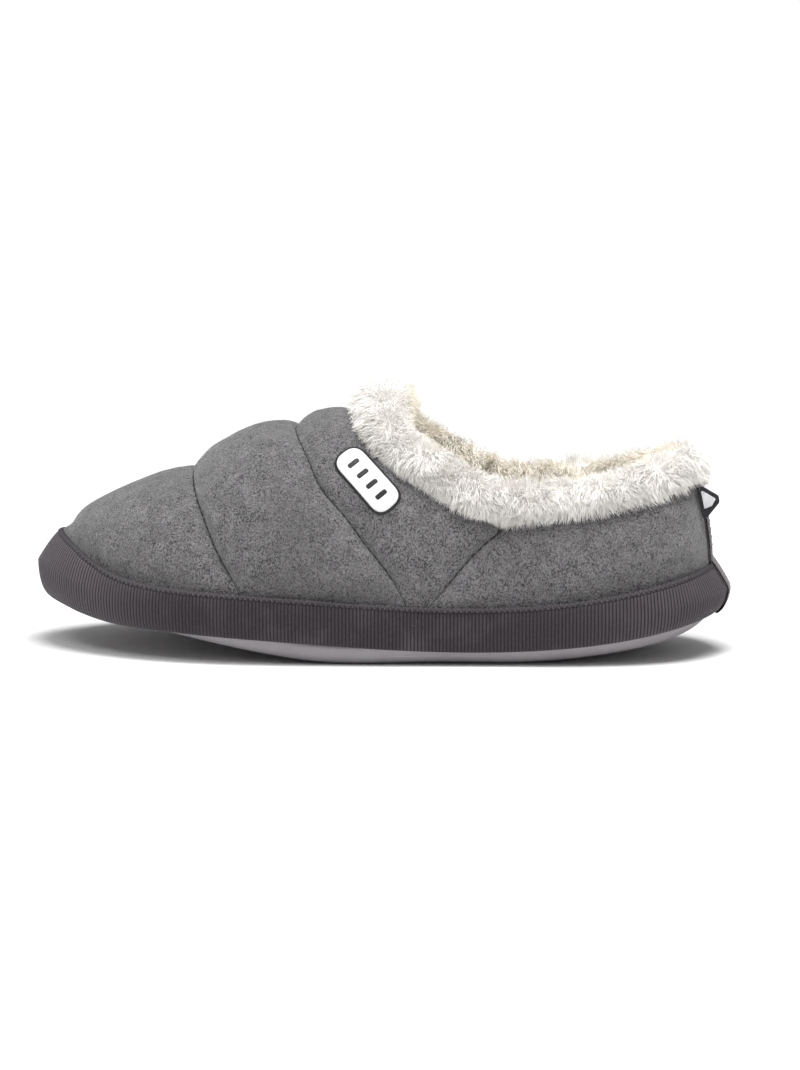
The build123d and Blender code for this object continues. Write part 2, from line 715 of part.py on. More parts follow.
def build():
    os.makedirs("parts", exist_ok=True)
    nodes = {}
    footbed_top = FOOTBED_FLOOR + FOOTBED
    nodes["outsole"] = plan(RUBBER_EDGE) & slab(ground, outsole_top)
    nodes["midsole_foam"] = plan(FOAM_EDGE) & slab(outsole_top, midsole_top)
    nodes["insole_board"] = layer(FOAM_EDGE, LAYER_GAP, LAYER_GAP + BOARD)
    nodes["footbed_foam"] = layer(FOOTBED_EDGE, FOOTBED_FLOOR, footbed_top)
    nodes["insole_fleece"] = layer(FOOTBED_EDGE, footbed_top + LAYER_GAP, footbed_top + LAYER_GAP + FLEECE)
    nodes["sole_band"] = band_half(1) + band_half(-1)
    nodes["sole_band_stitching"] = band_stitches()
    nodes.update(front_pieces(toe_seam, None, TOE_PUFF, "toe", [(40, 90), None]))
    nodes.update(front_pieces(toe_seam, vamp_seam, VAMP_PUFF, "vamp", [(40, 90), (-30, 50)]))
    nodes.update(front_pieces(vamp_seam, opening_edge, INSTEP_PUFF, "instep", [(-30, 50), (-70, 30)]))
    nodes.update(rear_pieces(1, "outer"))
    nodes.update(rear_pieces(-1, "inner"))
    nodes["front_lining"] = whole_front_lining()
    nodes["heel_counter"] = round_heel(COUNTER_DEPTH, COUNTER, low=0.05, high=0.8, begin=0.45)
    nodes["heel_lining"] = round_heel(COUNTER_DEPTH + COUNTER + FIT_GAP, LINING, shift=LINING_START,
                                      high=WALL_TOP)
    nodes["fur_collar"] = collar_half(1) + collar_half(-1)
    nodes["toe_seam_stitching"] = seam_stitches(toe_seam, 40, 90)
    nodes["vamp_seam_stitching"] = seam_stitches(vamp_seam, -30, 50)
    nodes["side_seam_stitching_outer"] = side_stitches(1)
    nodes["side_seam_stitching_inner"] = side_stitches(-1)
    nodes["heel_tape"] = heel_tape()
    nodes["heel_tape_stitching"] = tape_stitches()
    nodes["pull_tab"] = pull_tab()
    nodes["pull_tab_label"] = pull_tab_label()
    nodes["pull_tab_stitching"] = tab_stitches()
    nodes["badge_backing"] = badge_layer((BADGE[0] + BADGE_EDGE, BADGE[1] + BADGE_EDGE), 2.75, 3.45)
    nodes["badge_face"] = badge_layer(BADGE, 3.5, 4.3)
    for name, shape in nodes.items():
        export(shape, name)


build()
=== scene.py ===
"""Left house slipper: quilted suede upper, pile collar, ribbon-bound sole.

Shapes are worked out in millimetres in the frame of the CAD model and written in metres.
+X points to the toe, +Y to the outer side of the foot, +Z up.
"""
import math
import bpy
import numpy as np
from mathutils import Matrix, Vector
from mathutils.bvhtree import BVHTree


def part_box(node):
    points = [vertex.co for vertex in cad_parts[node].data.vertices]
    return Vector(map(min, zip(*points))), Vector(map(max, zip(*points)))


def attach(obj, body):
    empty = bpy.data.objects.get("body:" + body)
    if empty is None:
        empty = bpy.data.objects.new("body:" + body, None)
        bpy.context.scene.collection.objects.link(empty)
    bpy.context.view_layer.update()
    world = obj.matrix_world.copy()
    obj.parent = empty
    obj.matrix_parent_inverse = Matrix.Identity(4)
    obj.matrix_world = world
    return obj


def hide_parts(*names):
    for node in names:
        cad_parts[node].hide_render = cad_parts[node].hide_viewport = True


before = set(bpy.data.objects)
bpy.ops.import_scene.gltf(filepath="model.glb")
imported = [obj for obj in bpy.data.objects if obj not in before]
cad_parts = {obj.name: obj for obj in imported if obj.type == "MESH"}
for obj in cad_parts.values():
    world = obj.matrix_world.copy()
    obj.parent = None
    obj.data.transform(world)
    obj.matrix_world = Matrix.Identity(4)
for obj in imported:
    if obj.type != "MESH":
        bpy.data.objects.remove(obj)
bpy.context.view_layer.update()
MM = 0.001
BODY = "slipper"
TAB_BODY = "pull_tab"

# ---- driving dimensions, in millimetres --------------------------------------------------
band_low, band_high = (np.array(corner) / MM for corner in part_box("sole_band"))
HALF = (band_high[0] - band_low[0]) / 2
BAND_BACK = 1.4           # band's thickness at its top and bottom edges
FIT_GAP = 0.3             # clearance between neighbouring soft pieces
TUCK = 7.0                # how far the upper runs down behind the band
SUEDE = 1.1
WADDING = 4.0
LINING = 3.0
HEEL_LEAN = 5.0           # how far the heel leans in over a rise of 40
LINING_DEPTH = SUEDE + WADDING + FIT_GAP
HEEL_LINING_DEPTH = LINING_DEPTH + 1.4

# Plan outline of the sole, from the toe round the outer side to the heel and back.
SOLE_OUTLINE = [
    (HALF, -3), (131, 16), (112, 33), (85, 45), (45, 50.5), (0, 48), (-45, 44.5),
    (-90, 41.5), (-118, 33), (-133, 17.5), (-HALF, 0), (-133, -17.5), (-118, -32),
    (-90, -38.5), (-50, -39), (0, -41), (40, -46), (75, -48.5), (106, -42), (128, -24),
]
# Side-view heights by X: under the outsole, the middle of the band, and the band's height.
GROUND = [(-138, 15), (-119, 8.6), (-103, 5.2), (-87, 2.7), (-71, 0.9), (-55, 0), (-20, 0),
          (20, 0), (41, 2.8), (57, 5.6), (81, 10), (110, 15.5), (138, 24)]
BAND_MIDDLE = [(-138, 26.5), (-119, 23.0), (-87, 17.6), (-50, 14.6), (-10, 15.2), (30, 17.9),
               (60, 19.6), (90, 21.6), (113, 25.9), (128, 31.2), (138, 33.6)]
BAND_TALL = [(-138, 19.4), (-110, 19.0), (-80, 18.0), (-40, 17.3), (60, 17.2), (97, 17.8),
             (113, 19.6), (128, 22.6), (138, 24)]
EDGE_INSET = [(-138, 5.2), (-100, 3.4), (80, 3.4), (138, 6.5)]
# Top line of the upper at its seams; behind the opening it is only a form line.
CREST = [(-138, 96), (-90, 98), (-50, 98.5), (-20, 98.5), (11, 96.4), (34.5, 90.6), (55, 83),
         (75.7, 72.8), (90, 67), (105, 60), (122, 50.4), (128.6, 46), (138, 42)]
ARCH_POWER = [(-60, 2.7), (20, 2.25), (80, 2.3), (130, 2.3)]
# Seams, as X by height, and the lower edge of the collar, as height by X.
TOE_SEAM = [(18, 49), (30, 53), (42, 60.3), (57, 67.8), (66, 72.5), (72.8, 75.7)]
VAMP_SEAM = [(14, -17), (26.8, -11.8), (38, -5), (49.8, 4.4), (59.2, 11.6), (68.4, 20.2),
             (80.8, 27.3), (90.6, 34.5)]
SIDE_SEAM = [(12, -11), (24.4, -22.9), (39.5, -35.5), (47.2, -42.8), (54, -51), (62, -60)]
COLLAR_FRONT = [(46, -75), (54, -52), (59.3, -38), (67.1, -22), (78.9, -3.6), (84.7, 2.4),
                (90.7, 7.4), (97, 11.4)]
COLLAR_REAR = [(-52, 54.5), (-66, 56.8), (-90, 59.3), (-106, 62.4), (-124, 66.5), (-138, 67.5)]
BADGE = (29.0, 12.0)
BADGE_PLACE = (2.4, 72.0)  # X and Z of its middle, on the outer side
TAPE_WIDTH = 13.0
TAB_THICK = 1.4
TAB_FOOT, TAB_HEAD = (-128.5, 55.0), (-126.1, 66.0)   # X and Z of the ends of its sewn edge
TAB_SIDE = 11.0           # how far that edge is to the outer side of the back seam
PUFF_START, PUFF_FULL = 0.5, 11.0   # heights over the band between which the quilts come to swell
SEAM_SINK, SIDE_SEAM_SINK = 2.0, 1.9   # how deep the seams' stitches lie in the quilts' valleys
TAPE_BOW = 60.0           # the back tape's sides stand forward by Y squared over this
TOE_REACH = 9.0           # how far the band's outline stands ahead of the quilts at the toe
# How the band's profile changes by X: its top edge drawn in more and straighter at both ends,
# its lower edge drawn in at the heel, and the toe's fuller and hanging lower.
TOP_EXTRA = [(-138, 1.4), (-118, 0.4), (-100, 0), (95, 0), (120, 1.2), (138, 3.6)]
TOP_STRAIGHT = [(-138, 0.8), (-118, 0.5), (-95, 0), (95, 0), (118, 0.4), (138, 0.7)]
TOE_BULGE = [(110, 0), (138, 1.4)]
LOW_SLOPE = [(-138, 1.3), (-120, 0.4), (-100, 0), (138, 0)]
TOE_SAG = [(80, 0), (105, 1.3), (122, 2.4), (138, 2.4)]


# ---- curves ------------------------------------------------------------------------------
def spline(stations, values, closed=False):
    """A smooth curve through the values: a natural or a closed cubic spline."""
    x, y = np.array(stations, float), np.array(values, float)
    step, count = np.diff(x), len(y)
    matrix, right = np.zeros((count, count)), np.zeros(y.shape)
    for i in range(count):
        if closed or 0 < i < count - 1:
            before, after, last, following = step[i - 1], step[i], y[i - 1], y[(i + 1) % count]
            matrix[i, i - 1] += 1 / before
            matrix[i, i] += 2 / before + 2 / after
            matrix[i, (i + 1) % count] += 1 / after
            right[i] = 3 * ((y[i] - last) / before**2 + (following - y[i]) / after**2)
        else:
            j = 1 if i == 0 else count - 2
            matrix[i, i], matrix[i, j] = 2, 1
            right[i] = 3 * (y[j] - y[i]) / (x[j] - x[i])
    slope = np.linalg.solve(matrix, right)

    def at(position):
        position = np.asarray(position, float)
        k = np.clip(np.searchsorted(x, position, side="right") - 1, 0, len(step) - 1)
        j, h = (k + 1) % count, step[k]
        t = (position - x[k]) / h
        if y.ndim > 1:
            t, h = t[..., None], h[..., None]
        return ((1 + 2 * t) * (1 - t)**2 * y[k] + t * (1 - t)**2 * h * slope[k]
                + t * t * (3 - 2 * t) * y[j] + t * t * (t - 1) * h * slope[j])
    return at


def curve(pairs):
    pairs = sorted(pairs)
    return spline([p for p, _ in pairs], [v for _, v in pairs])


def smooth_step(low, high, value):
    t = np.clip((np.asarray(value, float) - low) / (high - low), 0, 1)
    return t * t * (3 - 2 * t)


ground = curve(GROUND)
band_middle = curve(BAND_MIDDLE)
band_tall = curve(BAND_TALL)
edge_inset = curve(EDGE_INSET)
crest_line = curve(CREST)
arch_power = curve(ARCH_POWER)
toe_seam = curve(TOE_SEAM)
vamp_seam = curve(VAMP_SEAM)
side_seam = curve(SIDE_SEAM)
collar_front = curve(COLLAR_FRONT)
collar_rear = curve(COLLAR_REAR)


def band_top(x):
    return band_middle(x) + band_tall(x) / 2


def opening_edge(z):
    """X of the rear edge of the instep panel: the side seam low down, then the collar."""
    blend = 3.0
    return blend * np.logaddexp(side_seam(z) / blend, collar_front(z) / blend)


# ---- the outline, and forms drawn in from it ---------------------------------------------
SAMPLES = 1440
corners = np.array(SOLE_OUTLINE, float)
chords = np.linalg.norm(np.roll(corners, -1, axis=0) - corners, axis=1)
around = np.concatenate([[0], np.cumsum(chords)])
outline_at = spline(around, corners, closed=True)
_fine = outline_at(np.linspace(0, around[-1], 8001))
_run = np.concatenate([[0], np.cumsum(np.linalg.norm(np.diff(_fine, axis=0), axis=1))])
OUTLINE_LENGTH = _run[-1]


def outline_points(count):
    """The outline's points, evenly spaced, with their outward directions."""
    even = np.linspace(0, OUTLINE_LENGTH, count, endpoint=False)
    points = np.stack([np.interp(even, _run, _fine[:, k]) for k in (0, 1)], axis=1)
    tangent = np.roll(points, -1, axis=0) - np.roll(points, 1, axis=0)
    out = np.stack([-tangent[:, 1], tangent[:, 0]], axis=1)
    out /= np.linalg.norm(out, axis=1)[:, None]
    return points, out * np.sign((out * points).sum(axis=1).mean())


outline, outward = outline_points(SAMPLES)
heel_index = int(np.argmin(outline[:, 0]))


class Form:
    """The upper's shape, drawn in by a depth from the level of its seams."""

    def __init__(self, depth):
        self.depth = depth
        inset = edge_inset(outline[:, 0]) + BAND_BACK + FIT_GAP + depth
        line = outline - outward * inset[:, None]
        other = np.concatenate([line[heel_index:], line[:1]])[::-1]
        other_out = np.concatenate([outward[heel_index:], outward[:1]])[::-1]
        self.sides = {1: line[:heel_index + 1], -1: other}
        self.normals = {1: outward[:heel_index + 1], -1: other_out}
        self.tip = line[:, 0].max()

    def width(self, x, side):
        line = self.sides[side]
        top = int(np.argmax(line[:, 0]))
        return np.interp(-np.asarray(x, float), -line[top:, 0], line[top:, 1])

    def crest(self, x):
        slope = (crest_line(x + 1) - crest_line(x - 1)) / 2
        return crest_line(x) - self.depth * np.hypot(1, slope)

    def foot(self, x):
        return band_top(x) - TUCK

    def arch(self, x, t):
        """Points of the sections at X; t runs from -1 (inner foot) to 1 (outer foot)."""
        x, t = np.broadcast_arrays(np.asarray(x, float), np.asarray(t, float))
        left, right = self.width(x, 1), self.width(x, -1)
        middle, half = (left + right) / 2, (left - right) / 2
        angle = (1 - np.abs(t)) * math.pi / 2
        power = 2 / arch_power(x)
        y = middle + np.sign(t) * half * np.clip(np.cos(angle), 0, 1)**power
        z = self.foot(x) + (self.crest(x) - self.foot(x)) * np.sin(angle)**power
        return np.stack([x, y, z], axis=-1)

    def on_seam(self, seam, t, low, high):
        """The X at which each section's point at t lies on a seam given by height."""
        t = np.asarray(t, float)
        low, high = np.full(t.shape, float(low)), np.full(t.shape, float(high))
        for _ in range(36):
            x = (low + high) / 2
            behind = x < seam(self.arch(x, t)[..., 2])
            low, high = np.where(behind, x, low), np.where(behind, high, x)
        return x

    def wall(self, station, z, side):
        """Points of the rear wall: a station counts along one side and round the heel."""
        line, normal = self.sides[side], self.normals[side]
        station, z = np.broadcast_arrays(np.asarray(station, float), np.asarray(z, float))
        index = np.arange(len(line))
        base = np.stack([np.interp(station, index, line[:, k]) for k in (0, 1)], axis=-1)
        out = np.stack([np.interp(station, index, normal[:, k]) for k in (0, 1)], axis=-1)
        bx = base[..., 0]
        rise = np.maximum(z - self.foot(bx), 0)
        rear = 1 - smooth_step(-112, -50, bx)
        tall = self.crest(np.maximum(bx, -112)) - self.foot(bx)
        hx = np.maximum(bx, -100)
        half = (self.width(hx, 1) - self.width(hx, -1)) / 2
        power = arch_power(np.maximum(bx, -60))
        lean = half * (1 - np.maximum(1 - (rise / tall)**power, 0)**(1 / power))
        heel_lean = HEEL_LEAN * (rise / 40)**2
        direction = rear[..., None] * out
        direction[..., 1] += (1 - rear) * side
        amount = (1 - rear) * lean + rear * heel_lean
        place = base - direction * amount[..., None]
        return np.concatenate([place, z[..., None]], axis=-1)

    def station(self, x, side):
        line = self.sides[side]
        top = int(np.argmax(line[:, 0]))
        return np.interp(-np.asarray(x, float), -line[top:, 0], np.arange(top, len(line)))

    def last_station(self, side):
        return len(self.sides[side]) - 1


def normals_of(grid):
    along, across = np.gradient(grid, axis=0), np.gradient(grid, axis=1)
    normal = np.cross(along, across)
    return normal / np.maximum(np.linalg.norm(normal, axis=2), 1e-9)[:, :, None]


# ---- noise that gives the same values each run -------------------------------------------
def _hash(ix, iy, iz, seed):
    value = (ix * 374761393 + iy * 668265263 + iz * 2147483647 + seed * 1442695041) & 0xFFFFFFFF
    value = ((value ^ (value >> 13)) * 1274126177) & 0xFFFFFFFF
    return ((value ^ (value >> 16)) & 0xFFFFFF) / 0xFFFFFF * 2 - 1


def noise(points, size, seed=0):
    """Smooth value noise from -1 to 1 at points, with features of about a size."""
    p = np.asarray(points, float) / size
    low = np.floor(p).astype(np.int64)
    f = p - low
    f = f * f * (3 - 2 * f)
    total = 0
    for dx in (0, 1):
        for dy in (0, 1):
            for dz in (0, 1):
                corner = np.where([dx, dy, dz], f, 1 - f).prod(axis=-1)
                total = total + corner * _hash(low[..., 0] + dx, low[..., 1] + dy, low[..., 2] + dz, seed)
    return total


# ---- mesh helpers ------------------------------------------------------------------------
def new_object(name, verts, faces, material):
    """A smooth-shaded mesh from points in millimetres and its faces."""
    mesh = bpy.data.meshes.new(name)
    mesh.from_pydata((np.asarray(verts) * MM).tolist(), [], faces)
    mesh.validate()
    mesh.materials.append(material)
    mesh.polygons.foreach_set("use_smooth", [True] * len(mesh.polygons))
    obj = bpy.data.objects.new(name, mesh)
    bpy.context.scene.collection.objects.link(obj)
    return obj


def grid_faces(rows, columns, close_rows=False, close_columns=False, start=0, flip=False):
    """Quads between the points of a grid, wrapped where it is closed."""
    faces = []
    for i in range(rows if close_rows else rows - 1):
        for j in range(columns if close_columns else columns - 1):
            a, b = i, (i + 1) % rows
            c, d = j, (j + 1) % columns
            quad = (start + a * columns + c, start + b * columns + c,
                    start + b * columns + d, start + a * columns + d)
            faces.append(quad[::-1] if flip else quad)
    return faces


def fast_mesh(name, verts, loops_per_face, loops, material):
    """A large smooth-shaded mesh from arrays."""
    mesh = bpy.data.meshes.new(name)
    mesh.vertices.add(len(verts))
    mesh.vertices.foreach_set("co", (np.asarray(verts) * MM).astype(np.float32).ravel())
    mesh.loops.add(len(loops))
    mesh.loops.foreach_set("vertex_index", np.asarray(loops, np.int32))
    mesh.polygons.add(len(loops_per_face))
    starts = np.concatenate([[0], np.cumsum(loops_per_face)[:-1]])
    mesh.polygons.foreach_set("loop_start", starts.astype(np.int32))
    mesh.polygons.foreach_set("loop_total", np.asarray(loops_per_face, np.int32))
    mesh.update(calc_edges=True)
    mesh.polygons.foreach_set("use_smooth", [True] * len(mesh.polygons))
    mesh.materials.append(material)
    obj = bpy.data.objects.new(name, mesh)
    bpy.context.scene.collection.objects.link(obj)
    return obj


def strands(name, roots, tips, bends, width, material, seed):
    """Pile: one thin tapering blade from each root to its tip, bent through a middle point."""
    rng = np.random.default_rng(seed)
    count = len(roots)
    way = tips - roots
    side = np.cross(way, rng.normal(size=(count, 3)))
    side /= np.maximum(np.linalg.norm(side, axis=1), 1e-9)[:, None]
    half = side * (np.broadcast_to(width, (count,))[:, None] / 2)
    ring = [roots - half, roots + half, bends + half * 0.75, bends - half * 0.75, tips]
    verts = np.stack(ring, axis=1)
    base = np.arange(count)[:, None] * 5
    quads, tris = base + np.array([0, 1, 2, 3]), base + np.array([3, 2, 4])
    loops = np.concatenate([quads, tris], axis=1).ravel()
    sizes = np.tile([4, 3], count)
    return fast_mesh(name, verts.reshape(-1, 3), sizes, loops, material)


def keep(piece, nodes=(), body=BODY):
    """Put a piece on its body and in place of its CAD nodes."""
    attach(piece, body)
    if nodes:
        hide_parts(*nodes)
    return piece


# ---- materials ---------------------------------------------------------------------------
def material(name, base, rough=0.8, sheen=0.0, sheen_rough=0.5, specular=0.3):
    mat = bpy.data.materials.new(name)
    mat.use_nodes = True
    shader = mat.node_tree.nodes["Principled BSDF"]
    shader.inputs["Base Color"].default_value = (*base, 1)
    shader.inputs["Roughness"].default_value = rough
    shader.inputs["Specular IOR Level"].default_value = specular
    if sheen:
        shader.inputs["Sheen Weight"].default_value = sheen
        shader.inputs["Sheen Roughness"].default_value = sheen_rough
    return mat, mat.node_tree, shader


def add(tree, kind, **values):
    node = tree.nodes.new(kind)
    for key, value in values.items():
        if key in node.inputs:
            node.inputs[key].default_value = value
        else:
            setattr(node, key, value)
    return node


def noise_node(tree, place, scale, detail=4.0, rough=0.6, stretch=None):
    source = place
    if stretch:
        mapping = add(tree, "ShaderNodeMapping")
        mapping.inputs["Scale"].default_value = stretch
        tree.links.new(place, mapping.inputs["Vector"])
        source = mapping.outputs["Vector"]
    node = add(tree, "ShaderNodeTexNoise", Scale=scale, Detail=detail, Roughness=rough)
    tree.links.new(source, node.inputs["Vector"])
    return node.outputs["Fac"]


def mix_colour(tree, factor, low, high):
    node = add(tree, "ShaderNodeMix", data_type="RGBA")
    a, b = [s for s in node.inputs if s.type == "RGBA"]
    for socket, value in ((a, low), (b, high)):
        if hasattr(value, "links"):
            tree.links.new(value, socket)
        else:
            socket.default_value = (*value, 1)
    tree.links.new(factor, node.inputs["Factor"])
    return [s for s in node.outputs if s.type == "RGBA"][0]


def ramp(tree, factor, low, high):
    node = add(tree, "ShaderNodeMapRange")
    node.inputs["From Min"].default_value = low
    node.inputs["From Max"].default_value = high
    tree.links.new(factor, node.inputs["Value"])
    return node.outputs["Result"]


def bump(tree, shader, height, strength, distance, previous=None):
    node = add(tree, "ShaderNodeBump", Strength=strength, Distance=distance)
    tree.links.new(height, node.inputs["Height"])
    if previous is not None:
        tree.links.new(previous, node.inputs["Normal"])
    tree.links.new(node.outputs["Normal"], shader.inputs["Normal"])
    return node.outputs["Normal"]


def suede_material():
    """Brushed microsuede: short dark and light fibres lying together, shaded in soft patches."""
    mat, tree, shader = material("grey_suede", (0.15, 0.146, 0.15), 0.95, 0.4, 0.4, 0.12)
    place = add(tree, "ShaderNodeTexCoord").outputs["Object"]
    warp = add(tree, "ShaderNodeTexNoise", Scale=140, Detail=2)
    tree.links.new(place, warp.inputs["Vector"])
    swirl = add(tree, "ShaderNodeVectorMath", operation="MULTIPLY_ADD")
    swirl.inputs[1].default_value = (0.004, 0.004, 0.004)
    tree.links.new(warp.outputs["Color"], swirl.inputs[0])
    tree.links.new(place, swirl.inputs[2])
    nap = noise_node(tree, swirl.outputs[0], 1900, 2, 0.6, (0.55, 1, 1.3))
    fleck = noise_node(tree, swirl.outputs[0], 1800, 2, 0.7, (1, 1, 0.65))
    patch = noise_node(tree, place, 210, 5, 0.7)
    broad = noise_node(tree, place, 26, 3, 0.5)
    tone = mix_colour(tree, ramp(tree, fleck, 0.4, 0.6), (0.04, 0.039, 0.04), (0.205, 0.199, 0.205))
    light = mix_colour(tree, ramp(tree, nap, 0.42, 0.62), tone, (0.32, 0.312, 0.318))
    tone = mix_colour(tree, ramp(tree, patch, 0.42, 0.8), tone, light)
    tone = mix_colour(tree, ramp(tree, broad, 0.5, 1.0), tone, (0.1, 0.097, 0.099))
    tree.links.new(tone, shader.inputs["Base Color"])
    first = bump(tree, shader, fleck, 1.0, 0.0008)
    bump(tree, shader, nap, 0.8, 0.0005, first)
    return mat


def ribbon_material():
    """Ribbed ribbon: painted shade in the grooves between the ribs, paler worn patches at random, and painted light on
    the toe and heel ends.
    """
    mat, tree, shader = material("ribbed_ribbon", (0.066, 0.054, 0.064), 0.75, 0.15, 0.4, 0.25)
    place = add(tree, "ShaderNodeTexCoord").outputs["Object"]
    rib = add(tree, "ShaderNodeAttribute", attribute_name="rib").outputs["Fac"]
    thread = noise_node(tree, place, 1400, 2, 0.6)
    # Paler worn patches at random: the ribbon's own wear.
    wear_and_end_light = noise_node(tree, place, 60, 4, 0.6)
    tone = mix_colour(tree, ramp(tree, thread, 0.3, 0.75), (0.027, 0.0215, 0.027), (0.052, 0.043, 0.05))
    tone = mix_colour(tree, ramp(tree, wear_and_end_light, 0.5, 0.9), tone, (0.085, 0.074, 0.083))
    # Painted light: the toe end, and less the heel end, is made paler where the band faces the light.
    painted_end_light = add(tree, "ShaderNodeAttribute", attribute_name="painted_end_light").outputs["Fac"]
    tone = mix_colour(tree, ramp(tree, painted_end_light, 0.0, 2.2), tone, (0.17, 0.15, 0.165))
    # Painted shade: the rib attribute darkens the grooves between the ribs, and the crevice under the band's top edge,
    # towards near black.
    tone = mix_colour(tree, ramp(tree, rib, 0.2, 0.95), (0.011, 0.009, 0.011), tone)
    tree.links.new(tone, shader.inputs["Base Color"])
    bump(tree, shader, thread, 0.5, 0.0002)
    return mat


def outsole_material():
    mat, tree, shader = material("outsole_rubber", (0.235, 0.22, 0.235), 0.6, 0, 0.5, 0.35)
    place = add(tree, "ShaderNodeTexCoord").outputs["Object"]
    grain = noise_node(tree, place, 1200, 2, 0.6)
    dust = noise_node(tree, place, 35, 5, 0.65)
    tone = mix_colour(tree, ramp(tree, dust, 0.4, 0.85), (0.225, 0.21, 0.225), (0.3, 0.285, 0.295))
    tree.links.new(tone, shader.inputs["Base Color"])
    bump(tree, shader, grain, 0.35, 0.0002)
    return mat


def fleece_material(name, base, deep):
    """The ground of a pile fabric, seen between its strands."""
    mat, tree, shader = material(name, base, 0.95, 0.4, 0.6, 0.15)
    place = add(tree, "ShaderNodeTexCoord").outputs["Object"]
    curl = noise_node(tree, place, 260, 5, 0.7)
    tone = mix_colour(tree, ramp(tree, curl, 0.3, 0.6), deep, base)
    tree.links.new(tone, shader.inputs["Base Color"])
    bump(tree, shader, curl, 0.8, 0.0012)
    return mat


def weave_material(name, low, high, scale=900, rough=0.85, sheen=0.2):
    mat, tree, shader = material(name, high, rough, sheen, 0.5, 0.25)
    place = add(tree, "ShaderNodeTexCoord").outputs["Object"]
    first = noise_node(tree, place, scale, 3, 0.6, (1, 1, 0.25))
    tone = mix_colour(tree, ramp(tree, first, 0.35, 0.65), low, high)
    tree.links.new(tone, shader.inputs["Base Color"])
    bump(tree, shader, first, 0.5, 0.0002)
    return mat


SUEDE_MAT = suede_material()
RIBBON_MAT = ribbon_material()
OUTSOLE_MAT = outsole_material()
FUR_MAT = material("pile_strands", (0.935, 0.915, 0.885), 0.9, 0.4, 0.45, 0.1)[0]
FUR_GROUND = fleece_material("pile_ground", (0.95, 0.93, 0.9), (0.84, 0.81, 0.77))
CREAM_MAT = material("lining_strands", (0.94, 0.89, 0.79), 0.9, 0.5, 0.5, 0.1)[0]
CREAM_GROUND = fleece_material("lining_ground", (0.97, 0.91, 0.78), (0.84, 0.77, 0.63))
THREAD_MAT = weave_material("dark_thread", (0.02, 0.018, 0.02), (0.045, 0.04, 0.045), 2500, 0.6, 0.1)
STRIP_THREAD_MAT = weave_material("strip_thread", (0.04, 0.034, 0.04), (0.1, 0.086, 0.098), 2500, 0.7, 0.1)
TAPE_MAT = weave_material("heel_tape", (0.085, 0.07, 0.078), (0.15, 0.13, 0.14))
TAB_MAT = weave_material("tab_ribbon", (0.012, 0.012, 0.014), (0.035, 0.034, 0.038))
LABEL_MAT = weave_material("woven_label", (0.5, 0.49, 0.51), (0.66, 0.65, 0.67))
FOAM_MAT = weave_material("midsole_foam", (0.5, 0.48, 0.44), (0.6, 0.58, 0.54), 600, 0.9, 0)
BOARD_MAT = weave_material("insole_board", (0.2, 0.17, 0.13), (0.3, 0.26, 0.2), 500, 0.9, 0)
BADGE_MAT = weave_material("badge_white", (0.74, 0.73, 0.72), (0.8, 0.79, 0.78), 1500, 0.55, 0)
BADGE_EDGE_MAT = weave_material("badge_dark", (0.015, 0.015, 0.017), (0.03, 0.03, 0.032), 1500, 0.5, 0)


# ---- the quilted panels ------------------------------------------------------------------
def swell_mask(grid, rear=False):
    """1 where a panel may swell, and 0 behind the band and under the back tape."""
    ahead = np.minimum(grid[..., 0] + TOE_REACH * smooth_step(95, 125, grid[..., 0]), HALF)
    mask = smooth_step(PUFF_START, PUFF_FULL, grid[..., 2] - band_top(ahead))
    if rear:
        back = np.hypot(grid[..., 1], grid[..., 0] + HALF - 10)
        mask = mask * smooth_step(TAPE_WIDTH / 2, TAPE_WIDTH * 1.7, back)
    return mask


def puff_shape(grid, height, rear, powers):
    """How far a panel swells out of its seams, from its middle to its edges."""
    rows, columns = grid.shape[:2]
    u = np.linspace(0, 1, rows)[:, None]
    across = 1 - np.linspace(0, 1, columns)[None, :]**8 if rear else 1.0
    power = powers[0] + (powers[1] - powers[0]) * u
    return height * (4 * u * (1 - u))**power * swell_mask(grid, rear) * across


CLOTH_SCALE = 0.02        # the skins are simulated this many metres to the millimetre
CLOTH_FRAMES = 24
CLOTH_CAP = 4.5           # the furthest that the cloth may carry a skin
CLOTH_PART = 0.45         # how much of a quilt's height comes from the cloth


def inflate(grid, out, base, rear):
    """Let a panel's skin swell as cloth that is sewn down along its edges."""
    rows, columns = grid.shape[:2]
    faces = grid_faces(rows, columns, flip=out < 0)
    mesh = bpy.data.meshes.new("skin")
    mesh.from_pydata((grid.reshape(-1, 3) * CLOTH_SCALE).tolist(), [], faces)
    obj = bpy.data.objects.new("skin", mesh)
    bpy.context.scene.collection.objects.link(obj)
    pins = obj.vertex_groups.new(name="sewn")
    fixed = swell_mask(base, rear) < 0.02
    fixed[0] = fixed[-1] = True
    fixed[:, 0] = fixed[:, -1] = True
    pins.add(np.flatnonzero(fixed.ravel()).tolist(), 1.0, "REPLACE")
    cloth = obj.modifiers.new("cloth", "CLOTH")
    settings = cloth.settings
    settings.quality = 6
    settings.mass = 0.05
    settings.tension_stiffness = settings.compression_stiffness = 12
    settings.shear_stiffness = 6
    settings.bending_stiffness = 0.15
    settings.air_damping = 2.0
    settings.vertex_group_mass = "sewn"
    settings.use_pressure = True
    settings.uniform_pressure_force = 1.0
    settings.shrink_min = -0.035
    settings.effector_weights.gravity = 0
    cloth.collision_settings.use_collision = False
    cloth.point_cache.frame_start, cloth.point_cache.frame_end = 1, 40
    for step in range(1, CLOTH_FRAMES + 1):
        bpy.context.scene.frame_set(step)
    result = obj.evaluated_get(bpy.context.evaluated_depsgraph_get())
    points = np.empty(rows * columns * 3, np.float32)
    result.data.vertices.foreach_get("co", points)
    points = points.reshape(rows, columns, 3).astype(float) / CLOTH_SCALE
    bpy.data.objects.remove(obj)
    bpy.data.meshes.remove(mesh)
    bpy.context.scene.frame_set(1)
    move = points - grid
    length = np.linalg.norm(move, axis=2)
    return grid + move * np.minimum(1, CLOTH_CAP / np.maximum(length, 1e-9))[..., None]


